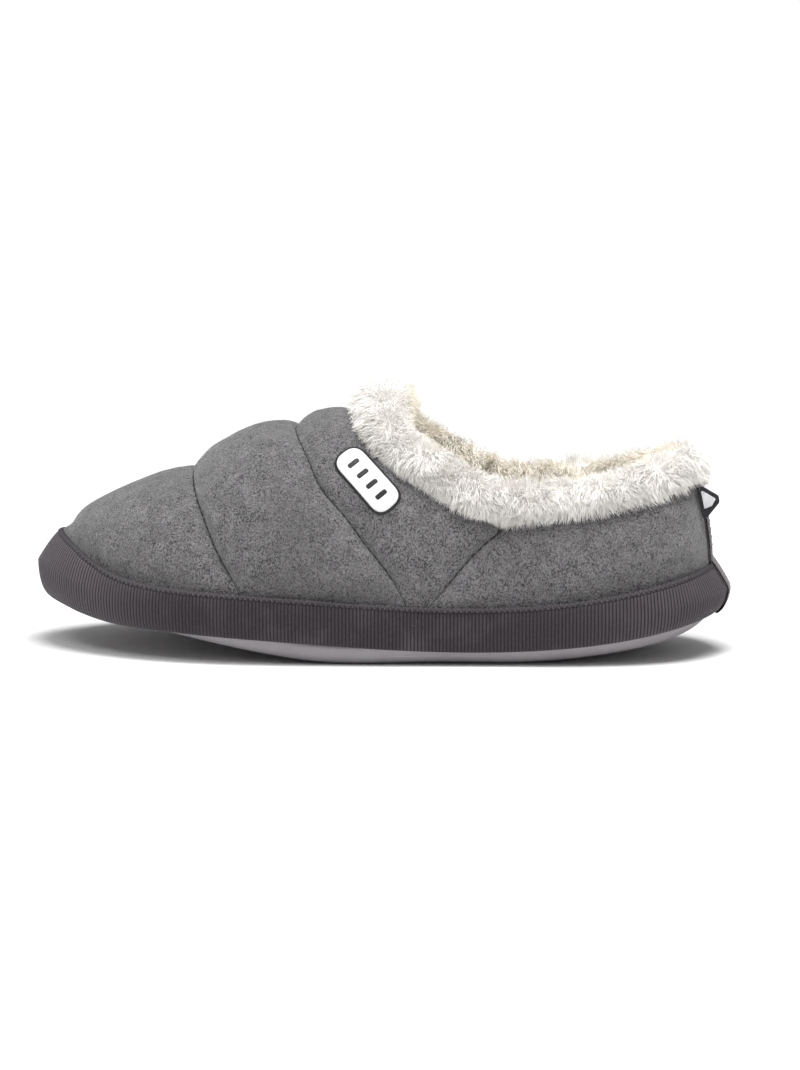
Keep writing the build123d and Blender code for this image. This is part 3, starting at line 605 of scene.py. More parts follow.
def quilt(name, base, back, height, powers, rear=False, puckers=1.0, seed=1):
    """A padded panel: a swollen suede skin with its edges turned in, closed by its back."""
    rows, columns = base.shape[:2]
    normal = normals_of(base)
    if rear:
        out = 1 if (normal * (base - [-60, 0, 40])).sum() > 0 else -1
    else:
        out = 1 if normal[rows // 2, columns // 2, 2] > 0 else -1
    normal = normal * out
    swell = puff_shape(base, height, rear, powers)
    mask = swell_mask(base, rear)
    u = np.linspace(0, 1, rows)[:, None]
    from_seam = np.minimum(u, 1 - u) * np.linalg.norm(base[-1] - base[0], axis=1)[None, :]
    near = np.exp(-from_seam / 9.0) * (1 - np.exp(-from_seam / 2.0))
    pull = noise(base * [0.25, 1, 1], 5.5, seed) + 0.6 * noise(base, 3.2, seed + 7)
    broad = noise(base, 30, seed + 3) * 0.5 + noise(base, 14, seed + 5) * 0.35
    skin = base + normal * (swell * (1 + 0.1 * broad))[..., None]
    full = inflate(skin, out, base, rear) - base
    level = np.percentile((full * normal).sum(axis=2), 97)
    skin = base + full * (CLOTH_PART * height / level) + normal * ((1 - CLOTH_PART) * swell)[..., None]
    valley = 0.7 * np.exp(-from_seam / 2.2) + 1.3 * np.exp(-from_seam / 7.0)
    skin = skin - normal * (valley * mask)[..., None]
    skin = skin + normal * (puckers * near * pull * mask * 0.9 + swell / height * broad * 0.5)[..., None]
    inward = [-normal[0], -normal[-1]]
    top = [skin[0] + inward[0] * 4.5, skin[0] + inward[0] * 1.6]
    low = [skin[-1] + inward[1] * 1.6, skin[-1] + inward[1] * 4.5]
    loop = np.concatenate([np.array(top), skin, np.array(low), back[::-1]])
    count = loop.shape[0]
    faces = grid_faces(count, columns, close_rows=True, flip=out < 0)
    ends = [[i * columns for i in range(count)], [i * columns + columns - 1 for i in range(count)]]
    faces.append(tuple(ends[0] if out > 0 else ends[0][::-1]))
    faces.append(tuple(ends[1][::-1] if out > 0 else ends[1]))
    obj = new_object(name, loop.reshape(-1, 3), faces, SUEDE_MAT)
    detail = obj.modifiers.new("smooth", "SUBSURF")
    detail.levels = detail.render_levels = 1
    return obj


ACROSS = 131


def front_grid(form, start, end, rows, round_tip=False, across=ACROSS):
    """A grid of the arch between two seams, given as X at each column."""
    t = np.linspace(-1, 1, across)[None, :]
    u = np.linspace(0, 1, rows)[:, None]
    if round_tip:
        u = np.sin(u * math.pi / 2)
    x = start[None, :] + (end - start)[None, :] * u
    return form.arch(x, np.broadcast_to(t, x.shape))


def seam_x(form, seam, low, high, across=ACROSS):
    t = np.linspace(-1, 1, across)
    return form.on_seam(seam, np.abs(t), low, high)


SEAM_RANGE = {"toe": (toe_seam, 40, 90), "vamp": (vamp_seam, -30, 50), "edge": (opening_edge, -70, 30)}


def front_quilt(name, first, last, rows, height, powers, seed):
    """One quilted panel across the foot, between two seams or out to the toe."""
    skin, back = Form(0.0), Form(SUEDE + WADDING)
    grids = []
    for form, count in ((skin, rows), (back, 9)):
        start = seam_x(form, *SEAM_RANGE[first])
        end = seam_x(form, *SEAM_RANGE[last]) if last else np.full(ACROSS, form.tip - 0.6)
        grids.append(front_grid(form, start, end, count, round_tip=last is None))
    piece = quilt(f"{name}_quilt", *grids, height, powers, seed=seed)
    return keep(piece, (f"{name}_panel", f"{name}_wadding"))


def rear_grid(form, side, rows, columns, end_gap=0.0, begin=0.0, top=1.0):
    """A grid of one rear wall: rows from the side seam to the heel, columns from foot to collar."""
    last = form.last_station(side) - end_gap
    v = np.linspace(0, top, columns)[None, :]
    x = np.full(v.shape, -35.0)
    for _ in range(40):
        z = form.foot(x) + (collar_rear(np.minimum(x, -52)) - form.foot(x)) * v
        x = 0.5 * x + 0.5 * side_seam(z)
    start = form.station(x, side)
    u = np.linspace(begin, 1, rows)[:, None]
    station = start + (last - start) * u
    place = form.wall(station, np.zeros_like(station), side)[..., 0]
    z = form.foot(place) + (collar_rear(np.minimum(place, -52)) - form.foot(place)) * v
    return form.wall(station, z, side)


def quarter_quilt(name, side, seed):
    """One quilted panel from the slanting seam to the back seam."""
    skin = rear_grid(Form(0.0), side, 96, 52)
    back = rear_grid(Form(SUEDE + WADDING), side, 9, 52)
    piece = quilt(f"quarter_quilt_{name}", skin, back, 2.7, (0.6, 0.8), rear=True, puckers=0.6, seed=seed)
    return keep(piece, (f"quarter_panel_{name}", f"quarter_wadding_{name}"))


def upper():
    front_quilt("toe", "toe", None, 60, 2.5, (0.75, 0.6), 11)
    front_quilt("vamp", "vamp", "toe", 64, 4.3, (0.85, 0.42), 23)
    instep = front_quilt("instep", "edge", "vamp", 60, 2.2, (0.8, 0.5), 37)
    quarter_quilt("outer", 1, 41)
    quarter_quilt("inner", -1, 53)
    return instep


# ---- the ribbed band ---------------------------------------------------------------------
RIB_PITCH = 1.4
RIB_DEPTH = 0.3


def along_x(pairs, x):
    return np.interp(x, [p for p, _ in pairs], [v for _, v in pairs])


def band_point(points, out, x, angle, push=0.0):
    """A point of the band's rounded profile, pushed out by an amount."""
    high, low = np.sin(np.maximum(angle, 0)), np.sin(np.maximum(-np.asarray(angle), 0))
    rounded = 1 - np.clip(np.cos(angle), 0, 1)**0.75
    straight = along_x(TOP_STRAIGHT, x) * (high > 0)
    draw = (edge_inset(x) + along_x(TOP_EXTRA, x) * (high > 0)) * (straight * high + (1 - straight) * rounded)
    draw = draw + along_x(LOW_SLOPE, x) * low**1.5 - along_x(TOE_BULGE, x)
    flat = points - out * (draw - push)[:, None]
    z = band_middle(x) + band_tall(x) / 2 * np.sin(angle) - along_x(TOE_SAG, x) * low
    return np.column_stack([flat, z])


def strip_angle(x):
    """Where the overlocked strip begins on the band's profile."""
    return np.radians(56 + 15 * smooth_step(98, 134, x) + 6 * (1 - smooth_step(-136, -115, x)))


def band():
    """Grosgrain ribbon folded round the sole's edge, rib by rib."""
    fine = 7
    count = int(OUTLINE_LENGTH / RIB_PITCH) * fine
    points, out = outline_points(count)
    x = points[:, 0]
    profile = np.abs(np.sin(np.arange(count) / fine * math.pi))**0.7
    lump = noise(np.column_stack([points, np.zeros(count)]), 26, 5) * 0.3
    rows, shade = [], []
    for angle in np.linspace(-1, 1, 31) * math.pi / 2:
        strip = smooth_step(-0.05, 0.05, angle - strip_angle(x))
        depth = RIB_DEPTH * max(math.cos(angle), 0)**0.3 * (1 - strip)
        push = depth * (profile - 0.6) + lump * math.cos(angle) - 0.2 * strip
        rows.append(band_point(points, out, x, angle, push))
        # Painted shade: each rib's groove gets a low shade value and its crest a high one; the strip gets a fixed
        # lower value, which is partly its own dark overlock tone.
        shade.append(profile * (1 - strip) + 0.34 * strip)
    lip = 2.4
    top = band_point(points, out, x, math.pi / 2, -lip)
    top[:, 2] -= 1.8
    rows.append(top)
    # Painted shade in the crevice under the top edge and on the rows behind the band.
    shade.append(np.full(count, 0.25))
    for angle in (1, -1):
        flat = points - out * (edge_inset(x) + BAND_BACK)[:, None]
        rows.append(np.column_stack([flat, band_middle(x) + angle * (band_tall(x) / 2 - 1.6)]))
        shade.append(np.full(count, 0.25))
    grid = np.array(rows)
    total = len(grid)
    i, j = np.meshgrid(np.arange(total), np.arange(count), indexing="ij")
    nxt, side = (i + 1) % total, (j + 1) % count
    quads = np.stack([i * count + j, i * count + side, nxt * count + side, nxt * count + j], axis=-1)
    sizes = np.full(quads.size // 4, 4)
    obj = fast_mesh("ribbed_band", grid.reshape(-1, 3), sizes, quads.ravel(), RIBBON_MAT)
    # The rib attribute carries the painted shade of the grooves and the crevice to the material.
    groove_shade = obj.data.color_attributes.new("rib", "FLOAT_COLOR", "POINT")
    tone = np.repeat(np.array(shade).ravel()[:, None], 4, axis=1).astype(np.float32)
    groove_shade.data.foreach_set("color", tone.ravel())
    painted_end_light = obj.data.attributes.new("painted_end_light", "FLOAT", "POINT")
    # Painted light: paler towards the toe and, by about half as much, towards the heel, where the band faces the
    # light.
    wear_and_end_light = smooth_step(70, 130, x) + 0.55 * smooth_step(60, 130, -x)
    painted_end_light.data.foreach_set("value", np.tile(wear_and_end_light, total).astype(np.float32))
    return keep(obj, ("sole_band",))


def thread(name, points, radius, nodes, slot="dark_thread", mat=None, sides=6):
    """One closed round thread through the points."""
    along = np.roll(points, -1, axis=0) - np.roll(points, 1, axis=0)
    along /= np.linalg.norm(along, axis=1)[:, None]
    across = np.cross(along, [0.0, 0.0, 1.0])
    across /= np.maximum(np.linalg.norm(across, axis=1), 1e-9)[:, None]
    over = np.cross(across, along)
    turn = np.arange(sides) / sides * 2 * math.pi
    verts = (points[:, None] + radius * (across[:, None] * np.cos(turn)[None, :, None]
                                         + over[:, None] * np.sin(turn)[None, :, None]))
    faces = grid_faces(len(points), sides, close_rows=True, close_columns=True)
    return keep(new_object(name, verts.reshape(-1, 3), faces, mat or THREAD_MAT), nodes)


def stitch_row(name, points, outs, nodes, pitch=3.0, length=2.3, width=0.55, lift=0.15,
               mat=None, body=BODY):
    """Separate thread stitches lying along a line, each dipping into the cloth at its ends."""
    points, outs = np.asarray(points, float), np.asarray(outs, float)
    run = np.concatenate([[0], np.cumsum(np.linalg.norm(np.diff(points, axis=0), axis=1))])
    count = int(run[-1] // pitch)
    verts, faces = [], []
    stations, sides = 7, 6
    for k in range(count):
        middle = (k + 0.5) * pitch
        for s in np.linspace(-1, 1, stations):
            at = middle + s * length / 2
            centre = np.array([np.interp(at, run, points[:, c]) for c in range(3)])
            out = np.array([np.interp(at, run, outs[:, c]) for c in range(3)])
            out /= np.linalg.norm(out)
            ahead = np.array([np.interp(at + 0.2, run, points[:, c])
                              - np.interp(at - 0.2, run, points[:, c]) for c in range(3)])
            across = np.cross(ahead, out)
            across /= max(np.linalg.norm(across), 1e-9)
            fat = width / 2 * math.sqrt(max(1 - (s * 0.92)**2, 0.02)) ** 0.6
            rise = lift + 0.28 * (1 - s * s) - 0.25 * s * s
            for a in np.arange(sides) / sides * 2 * math.pi:
                verts.append(centre + out * (rise + fat * math.sin(a)) + across * fat * math.cos(a))
        base = k * stations * sides
        faces += grid_faces(stations, sides, close_columns=True, start=base)
        faces.append(tuple(base + i for i in range(sides)))
        faces.append(tuple(base + (stations - 1) * sides + i for i in range(sides))[::-1])
    obj = new_object(name, np.array(verts), faces, mat or THREAD_MAT)
    return keep(obj, nodes, body)


def band_stitching():
    """Overlocking along the band's upper edge: a thread that zigzags between two rows."""
    steps = int(OUTLINE_LENGTH / 2.1) * 6
    points, out = outline_points(steps)
    x = points[:, 0]
    phase = np.arange(steps) / 6 * 2 * math.pi
    for k, (mat, shift) in enumerate(((THREAD_MAT, 0.0), (STRIP_THREAD_MAT, 2.1))):
        low, high = strip_angle(x) + 0.03, math.radians(86)
        angle = (low + high) / 2 + (high - low) / 2 * np.sin(phase + shift)
        line = band_point(points, out, x, angle, 0.16 + 0.14 * np.cos(2 * phase + shift))
        thread(f"band_stitching_{k + 1}", line, 0.34, ("sole_band_stitching",) if k == 0 else (), mat=mat)


# ---- the sole ----------------------------------------------------------------------------
TREAD_PITCH = 7.0


def outsole():
    """A cupped rubber sole with ribs across its tread."""
    count, rings = 720, 60
    points, out = outline_points(count)
    inset = edge_inset(points[:, 0]) + 0.6
    edge = points - out * inset[:, None]
    spine = np.column_stack([np.clip(edge[:, 0], -98, 92), np.zeros(count)])
    spine[:, 1] = (Form(0).width(spine[:, 0], 1) + Form(0).width(spine[:, 0], -1)) / 2
    lower, upper_face = [], []
    reach = np.linalg.norm(edge - spine, axis=1)
    for f in np.linspace(0, 1, rings)**1.15:
        flat = edge + (spine - edge) * f
        away = reach * f
        cup = 7.2 * np.exp(-away / 3.2) * (1 - smooth_step(0, 22, away))
        z = ground(flat[:, 0]) + cup
        wave = 0.9 * np.sin(flat[:, 1] * 2 * math.pi / 16.0)
        tread = 0.5 - 0.5 * np.cos(flat[:, 0] * 2 * math.pi / TREAD_PITCH + wave)
        tread = np.clip(tread * 2.4 - 0.5, 0, 1)
        inside = smooth_step(9, 12, away)
        groove = 1.3 * inside * (1 - tread)
        lower.append(np.column_stack([flat, z + groove]))
        upper_face.append(np.column_stack([flat, np.maximum(z + 2.4, ground(flat[:, 0]) + 3.6)]))
    grid = np.concatenate([np.array(lower)[::-1], np.array(upper_face)])
    rows = len(grid)
    i, j = np.meshgrid(np.arange(rows - 1), np.arange(count), indexing="ij")
    side = (j + 1) % count
    below = i + 1
    quads = np.stack([i * count + j, below * count + j, below * count + side, i * count + side], axis=-1)
    sizes = np.full(quads.size // 4, 4)
    obj = fast_mesh("outsole_tread", grid.reshape(-1, 3), sizes, quads.ravel(), OUTSOLE_MAT)
    return keep(obj, ("outsole",))


# ---- the collar --------------------------------------------------------------------------
def collar_line(side):
    form = Form(0.0)
    t = np.linspace(0, 1, 400)
    x = form.on_seam(opening_edge, t, -70, 30)
    front = form.arch(x, t * side)
    ahead = form.arch(x + 0.5, t * side) - front
    over = form.arch(x, np.minimum(t + 0.004, 1) * side) - front
    front_out = np.cross(ahead, over)
    use = front[:, 2] > 57.5
    use[np.argmin(use):] = False
    last = form.last_station(side)
    station = np.linspace(form.station(-62, side), last, 300)
    x = form.wall(station, np.zeros(300), side)[:, 0]
    z = collar_rear(x)
    rear = form.wall(station, z, side)
    ahead = form.wall(station - 1, z, side) - form.wall(station - 3, z, side)
    over = form.wall(station, z + 0.5, side) - rear
    rear_out = np.cross(ahead, over)
    points = np.concatenate([front[use], rear])
    outs = np.concatenate([front_out[use], rear_out])
    outs /= np.maximum(np.linalg.norm(outs, axis=1), 1e-9)[:, None]
    outs *= np.sign((outs * (points - [-40, 0, 40])).sum(axis=1))[:, None]
    points[-1, 1] = outline[heel_index][1]
    return points, outs


COLLAR_COUNT = 420        # stations round the collar


def collar_ring(count):
    """The collar's lower edge all the way round, with its outward and upward directions."""
    halves = []
    for side in (1, -1):
        points, outs = collar_line(side)
        run = np.concatenate([[0], np.cumsum(np.linalg.norm(np.diff(points, axis=0), axis=1))])
        even = np.linspace(0, run[-1], count // 2 + 1)
        points = np.stack([np.interp(even, run, points[:, k]) for k in range(3)], axis=1)
        outs = np.stack([np.interp(even, run, outs[:, k]) for k in range(3)], axis=1)
        part = np.linspace(0, 1, count // 2 + 1)
        halves.append((points, outs, part))
    join = lambda k: np.concatenate([halves[0][k], halves[1][k][-2:0:-1]])
    points, outs, part = join(0), join(1), join(2)
    for _ in range(count // 12):
        points = (np.roll(points, 1, axis=0) + 2 * points + np.roll(points, -1, axis=0)) / 4
        outs = (np.roll(outs, 1, axis=0) + 2 * outs + np.roll(outs, -1, axis=0)) / 4
    along = np.roll(points, -1, axis=0) - np.roll(points, 1, axis=0)
    along /= np.linalg.norm(along, axis=1)[:, None]
    outs -= along * (outs * along).sum(axis=1)[:, None]
    outs /= np.linalg.norm(outs, axis=1)[:, None]
    ups = np.cross(along, outs)
    middle = len(points) // 2
    ups *= np.sign(ups[middle, 2])
    return points, outs, ups, part


def roll_size(a):
    """Half the roll's height, half its thickness and its middle's distance outward, fuller in front."""
    front = 1 - smooth_step(0.02, 0.24, a)
    return 7.0 + 4.2 * front, 6.0 + 1.0 * front, -2.8 + 2.2 * front


def roll_grid(count, around_count, shrink=1.0):
    points, outs, ups, part = collar_ring(count)
    tall, thick, middle = roll_size(part)
    angle = np.linspace(0, 2 * math.pi, around_count, endpoint=False)[None, :]
    lift = 1.8 * np.exp(-((part - 0.3) / 0.12)**2)
    rise = (0.4 + tall + lift)[:, None] + (tall * shrink)[:, None] * np.sin(angle) * 1.02
    push = middle[:, None] + (thick * shrink)[:, None] * np.cos(angle)
    return points[:, None] + ups[:, None] * rise[..., None] + outs[:, None] * push[..., None]


CLUMP = 5.0               # how wide the pile's clumps are


def pile(name, grid, density, length, width, mat, seed, where, lean=(0, 0, -0.35), pieces=1,
         closed=True):
    """Strands rooted all over a grid, leaning together in small clumps."""
    rng = np.random.default_rng(seed)
    a = grid
    b = np.roll(grid, -1, axis=0)
    c = np.roll(grid, -1, axis=1)
    if not closed:
        a, b, c = a[:-1, :-1], b[:-1, :-1], c[:-1, :-1]
    cell = np.cross(b - a, c - a)
    area = np.linalg.norm(cell, axis=2)
    total = int(area.sum() * density)
    flat = area.ravel() / area.sum()
    pick = rng.choice(flat.size, size=total, p=flat)
    s, t = rng.random((total, 1)), rng.random((total, 1))
    pa, pb, pc = (g.reshape(-1, 3)[pick] for g in (a, b, c))
    root = pa + (pb - pa) * s + (pc - pa) * t
    out = cell.reshape(-1, 3)[pick]
    out /= np.maximum(np.linalg.norm(out, axis=1), 1e-9)[:, None]
    use = where(root, out)
    root, out = root[use], out[use]
    total = len(root)
    flow = np.stack([noise(root, CLUMP, seed + k) for k in range(3)], axis=1)
    wide = np.stack([noise(root, CLUMP * 3.1, seed + 10 + k) for k in range(3)], axis=1)
    fine = rng.normal(size=(total, 3)) * 0.15
    way = 0.8 * out + 0.55 * flow + 0.3 * wide + fine + np.array(lean)
    way /= np.linalg.norm(way, axis=1)[:, None]
    size = length * (0.75 + 0.35 * rng.random(total) + 0.18 * noise(root, CLUMP * 1.3, seed + 20))
    tip = root + way * size[:, None]
    bend = root + (0.55 * out + 0.45 * way) * size[:, None] * 0.5
    order = np.argsort(root[:, 0])
    for k, part in enumerate(np.array_split(order, pieces)):
        label = name if pieces == 1 else f"{name}_{k + 1}"
        keep(strands(label, root[part], tip[part], bend[part], width, mat, seed + k))


def collar():
    """The fur collar: a padded roll round the opening, with white pile and a cream inner side."""
    grid = roll_grid(COLLAR_COUNT, 44, 0.86)
    bumpy = grid + normals_of(grid) * (noise(grid, 6, 3) * 0.9 + noise(grid, 3, 4) * 0.4)[..., None]
    rows, columns = grid.shape[:2]
    faces = grid_faces(rows, columns, True, True)
    obj = new_object("collar_ground", bumpy.reshape(-1, 3), faces, FUR_GROUND)
    keep(obj, ("fur_collar",))
    if normals_of(grid)[10, 0].dot(collar_ring(COLLAR_COUNT)[1][10]) < 0:
        grid = grid[:, ::-1]
    density, width, pieces = ((5.0, 0.32, 2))

    def inward(root, out):
        """Strands on the opening's side of the roll, which are as cream as the lining."""
        middle = np.column_stack([np.clip(root[:, 0], -95, -20), np.zeros(len(root))])
        away = root[:, :2] - middle
        away /= np.maximum(np.linalg.norm(away, axis=1), 1e-9)[:, None]
        return (out[:, :2] * away).sum(axis=1) < -0.3

    def outward(root, out):
        """The rest of the roll, apart from a place kept clear for the pull tab's swing."""
        beside = np.abs(root[:, 1] - TAB_SIDE) < 9
        near_tab = beside & (root[:, 0] < TAB_HEAD[0] + 6) & (root[:, 2] < TAB_HEAD[1] + 4)
        return ~inward(root, out) & ~near_tab

    pile("collar_pile", grid, density, 5.4, width, FUR_MAT, 71, outward, lean=(0, 0, -0.45),
         pieces=pieces)
    pile("collar_inner_pile", grid, density, 5.6, width, CREAM_MAT, 171, inward)


# ---- lining and insole -------------------------------------------------------------------
def lining_pile(name, grid, seed, where):
    """Short pile on the lining, standing into the shoe."""
    middle = np.stack([np.clip(grid[..., 0], -85, 100), 0 * grid[..., 1], 0 * grid[..., 2] + 45.0], axis=-1)
    if (normals_of(grid) * (middle - grid)).sum() < 0:
        grid = grid[:, ::-1]
    density = 2.6
    pile(name, grid, density, 4.2, 0.4, CREAM_MAT, seed, where, lean=(0, 0, 0.1), closed=False)


def lining_piece(name, layers, seed, pile_seed, where):
    """A loop of fleece through an inner and an outer layer of points, with pile on the inner."""
    inner, back = layers
    face = inner + normals_of(inner) * (noise(inner, 4, seed) * 0.5)[..., None]
    loop = np.concatenate([face, back[::-1]])
    faces = grid_faces(len(loop), loop.shape[1], close_rows=True)
    obj = new_object(f"{name}_fleece", loop.reshape(-1, 3), faces, CREAM_GROUND)
    lining_pile(f"{name}_pile", inner, pile_seed, where)
    keep(obj, (name,))


def front_lining():
    grids = []
    for depth in (LINING_DEPTH + LINING, LINING_DEPTH):
        form = Form(depth)
        start = seam_x(form, opening_edge, -70, 30, 97)
        grids.append(front_grid(form, start, np.full(97, form.tip - 1.0), 60, True, 97))
    lining_piece("front_lining", grids, 8, 81, lambda root, out: root[:, 0] < 45)


def heel_lining():
    rows, columns = 90, 34
    layers = []
    for depth in (HEEL_LINING_DEPTH + LINING, HEEL_LINING_DEPTH):
        form = Form(depth)
        outer, inner = rear_grid(form, 1, rows, columns), rear_grid(form, -1, rows, columns)
        layers.append(np.concatenate([outer, inner[-2::-1]]))
    lining_piece("heel_lining", layers, 9, 91, lambda root, out: root[:, 2] > 24)


def insole():
    """The fleece the foot stands on."""
    count, rings = 260, 26
    points, out = outline_points(count)
    edge = points - out * (edge_inset(points[:, 0]) + 13.0)[:, None]
    spine = np.column_stack([np.clip(edge[:, 0], -90, 80), np.zeros(count)])
    base = lambda x: band_top(x) - 8.0
    grid = []
    for f in np.linspace(0, 1, rings):
        flat = edge + (spine - edge) * f
        top = base(flat[:, 0]) + 9.1 + 1.2 * (1 - smooth_step(0, 0.25, f))
        grid.append(np.column_stack([flat, top + 0.5 * noise(np.column_stack([flat, top]), 4, 12)]))
    bottom = []
    for f in np.linspace(0, 1, 6):
        flat = edge + (spine - edge) * f
        bottom.append(np.column_stack([flat, base(flat[:, 0]) + 5.1]))
    grid = np.concatenate([np.array(grid)[::-1], np.array(bottom)])
    faces = grid_faces(len(grid), count, close_columns=True)
    obj = new_object("insole_fleece_top", grid.reshape(-1, 3), faces, CREAM_GROUND)
    keep(obj, ("insole_fleece",))


# ---- seams, tape, tab and badge ----------------------------------------------------------
def seam_stitching(name, seam, low, high, nodes):
    form = Form(0.0)
    t = np.linspace(-0.95, 0.95, 260)
    x = form.on_seam(seam, np.abs(t), low, high)
    line = form.arch(x, t)
    outs = np.cross(form.arch(x + 0.5, t) - line, form.arch(x, t + 0.01) - line)
    outs *= (np.sign(outs[:, 2]) / np.linalg.norm(outs, axis=1))[:, None]
    use = line[:, 2] > band_top(x) + 0.5
    stitch_row(name, (line - outs * SEAM_SINK)[use], outs[use], nodes, 3.4, 2.5, 0.5, 0.0)


def side_stitching(name, side, nodes):
    form = Form(0.0)
    z = np.linspace(24, 55, 60)
    line = form.wall(form.station(side_seam(z), side), z, side)
    outs = np.tile([0.0, float(side), 0.0], (len(z), 1))
    stitch_row(name, line - outs * SIDE_SEAM_SINK, outs, nodes, 3.4, 2.5, 0.5, 0.0)


def heel_line(count=60):
    """The back seam in side view, from the collar down over the band: X and Z."""
    form = Form(0.0)
    last = form.last_station(1)
    z = np.linspace(66, 37.5, count)
    x = form.wall(np.full(count, last), z, 1)[:, 0]
    angle = np.radians(np.linspace(52, -75, count))
    back = np.full(count, -HALF)
    points, outs = np.column_stack([back, np.zeros(count)]), np.tile([-1.0, 0.0], (count, 1))
    over = band_point(points, outs, back, angle)
    return np.concatenate([np.stack([x, z], axis=1), over[:, [0, 2]]])


def heel_tape():
    """A narrow woven tape over the back seam, with a raised rib along each edge."""
    line = heel_line()
    for _ in range(3):
        line[1:-1] = (line[:-2] + 2 * line[1:-1] + line[2:]) / 4
    run = np.gradient(line, axis=0)
    out = np.stack([run[:, 1], -run[:, 0]], axis=1) / np.linalg.norm(run, axis=1)[:, None]
    if out[:, 0].mean() > 0:
        out = -out
    y = np.linspace(-TAPE_WIDTH / 2, TAPE_WIDTH / 2, 41)
    layers = []
    for lift in (0.95, 0.2):
        moved = line + out * lift
        x = moved[:, :1] + (y * y / TAPE_BOW)[None, :]
        z = np.repeat(moved[:, 1:], len(y), axis=1)
        grid = np.stack([x, np.broadcast_to(y, x.shape), z], axis=2)
        if lift > 0.5:
            weave = 0.12 * np.cos(np.arange(len(line)) * 2.2)[:, None]
            rib = weave + 0.25 * np.exp(-((np.abs(y) - 5.4) / 0.5)**2)
            grid[..., 0] += out[:, :1] * rib
            grid[..., 2] += out[:, 1:] * rib
        layers.append(grid)
    loop = np.concatenate([layers[0], layers[1][::-1]])
    faces = grid_faces(len(loop), len(y), close_rows=True)
    obj = new_object("back_tape", loop.reshape(-1, 3), faces, TAPE_MAT)
    detail = obj.modifiers.new("smooth", "SUBSURF")
    detail.levels = detail.render_levels = 1
    keep(obj, ("heel_tape",))
    for side, nodes in ((1, ("heel_tape_stitching",)), (-1, ())):
        edge = line[:58]
        x = edge[:, 0] + out[:58, 0] * 0.95 + 18 / TAPE_BOW
        points = np.stack([x, np.full(58, side * 4.2), edge[:, 1]], axis=1)
        outs = np.stack([out[:58, 0], np.zeros(58), out[:58, 1]], axis=1)
        name = f"back_tape_stitches_{'outer' if side > 0 else 'inner'}"
        stitch_row(name, points, outs, nodes, 3.2, 2.3, 0.4, 0.0, TAPE_MAT)


def plate(name, centre, across, up, out, shape, low, high, bevel, mat, nodes, body, relief=None):
    """A thin soft-edged plate of any outline, laid on a plane or on a given relief."""
    shape = np.asarray(shape, float)
    middle = shape.mean(axis=0)
    rings = [(0.0, high), (0.3, high), (0.6, high), (0.8, high), (0.92, high), (0.97, high - bevel * 0.3),
             (1.0, high - bevel), (1.0, low + bevel), (0.97, low)]
    verts, count = [], len(shape)
    for scale, height in rings:
        flat = middle + (shape - middle) * scale
        for a, b in flat:
            rise = relief(a, b) if relief else 0.0
            verts.append(np.array(centre) + across * a + up * b + out * (height + rise))
    faces = grid_faces(len(rings), count, close_columns=True)
    faces.append(tuple((len(rings) - 1) * count + i for i in range(count)))
    obj = new_object(name, np.array(verts), faces, mat)
    return keep(obj, nodes, body)


def rounded(points, radius, steps=8):
    """The outline of a polygon with its corners rounded."""
    points = [np.array(p, float) for p in points]
    line = []
    for k, corner in enumerate(points):
        before, after = points[k - 1] - corner, points[(k + 1) % len(points)] - corner
        reach = min(radius, 0.45 * np.linalg.norm(before), 0.45 * np.linalg.norm(after))
        a = corner + before / np.linalg.norm(before) * reach
        b = corner + after / np.linalg.norm(after) * reach
        for t in np.linspace(0, 1, steps):
            line.append((1 - t)**2 * a + 2 * t * (1 - t) * corner + t * t * b)
        for t in np.linspace(0, 1, 6)[1:-1]:
            nxt = points[(k + 1) % len(points)]
            c = nxt + (corner - nxt) / np.linalg.norm(corner - nxt) * min(
                radius, 0.45 * np.linalg.norm(nxt - corner))
            line.append(b + (c - b) * t)
    return np.array(line)


def badge(skin):
    """A plain soft plate on the outer side of the instep."""
    tree = BVHTree.FromObject(skin, bpy.context.evaluated_depsgraph_get())
    x0, z0 = BADGE_PLACE
    form = Form(0.0)

    def side_point(x, z):
        low, high = 0.0, 1.0
        for _ in range(30):
            t = (low + high) / 2
            low, high = (t, high) if form.arch(x, t)[2] > z else (low, t)
        return form.arch(x, t)

    centre = side_point(x0, z0)
    out = np.cross(side_point(x0, z0 + 1) - centre, side_point(x0 + 1, z0) - centre)
    out *= np.sign(out[1]) / np.linalg.norm(out)
    across = np.array([0.63, 0.0, 0.77])
    across -= out * across.dot(out)
    across /= np.linalg.norm(across)
    up = np.cross(out, across)
    samples = []
    for a in np.linspace(-BADGE[0] / 2, BADGE[0] / 2, 13):
        for b in np.linspace(-BADGE[1] / 2, BADGE[1] / 2, 9):
            start = centre + across * a + up * b + out * 25
            hit = tree.ray_cast(Vector(start * MM), Vector(-out))
            if hit[0] is not None:
                samples.append((a, b, (np.array(hit[0]) / MM - centre).dot(out)))
    a, b, rise = np.array(samples).T
    basis = lambda a, b: np.stack([np.ones_like(a), a, b, a * a, a * b, b * b, a**3, a * a * b, a * b * b, b**3],
                                  axis=-1)
    fit = np.linalg.lstsq(basis(a, b), rise, rcond=None)[0]
    clear = float(np.percentile(rise - basis(a, b) @ fit, 96)) + 0.05
    relief = lambda a, b: float(basis(np.float64(a), np.float64(b)) @ fit) + clear
    w, h = BADGE[0] / 2, BADGE[1] / 2
    outline_of = lambda grow: rounded([(-w - grow, -h - grow), (w + grow, -h - grow), (w + grow, h + grow),
                                       (-w - grow, h + grow)], 7.0, 14)
    plate("badge_rim", centre, across, up, out, outline_of(0.9), -0.8, 0.55, 0.3, BADGE_EDGE_MAT,
          ("badge_backing",), BODY, relief)
    plate("badge_plate", centre, across, up, out, outline_of(0.0), 0.3, 1.25, 0.4, BADGE_MAT,
          ("badge_face",), BODY, relief)
    badge_marks(centre, across, up, out, relief)


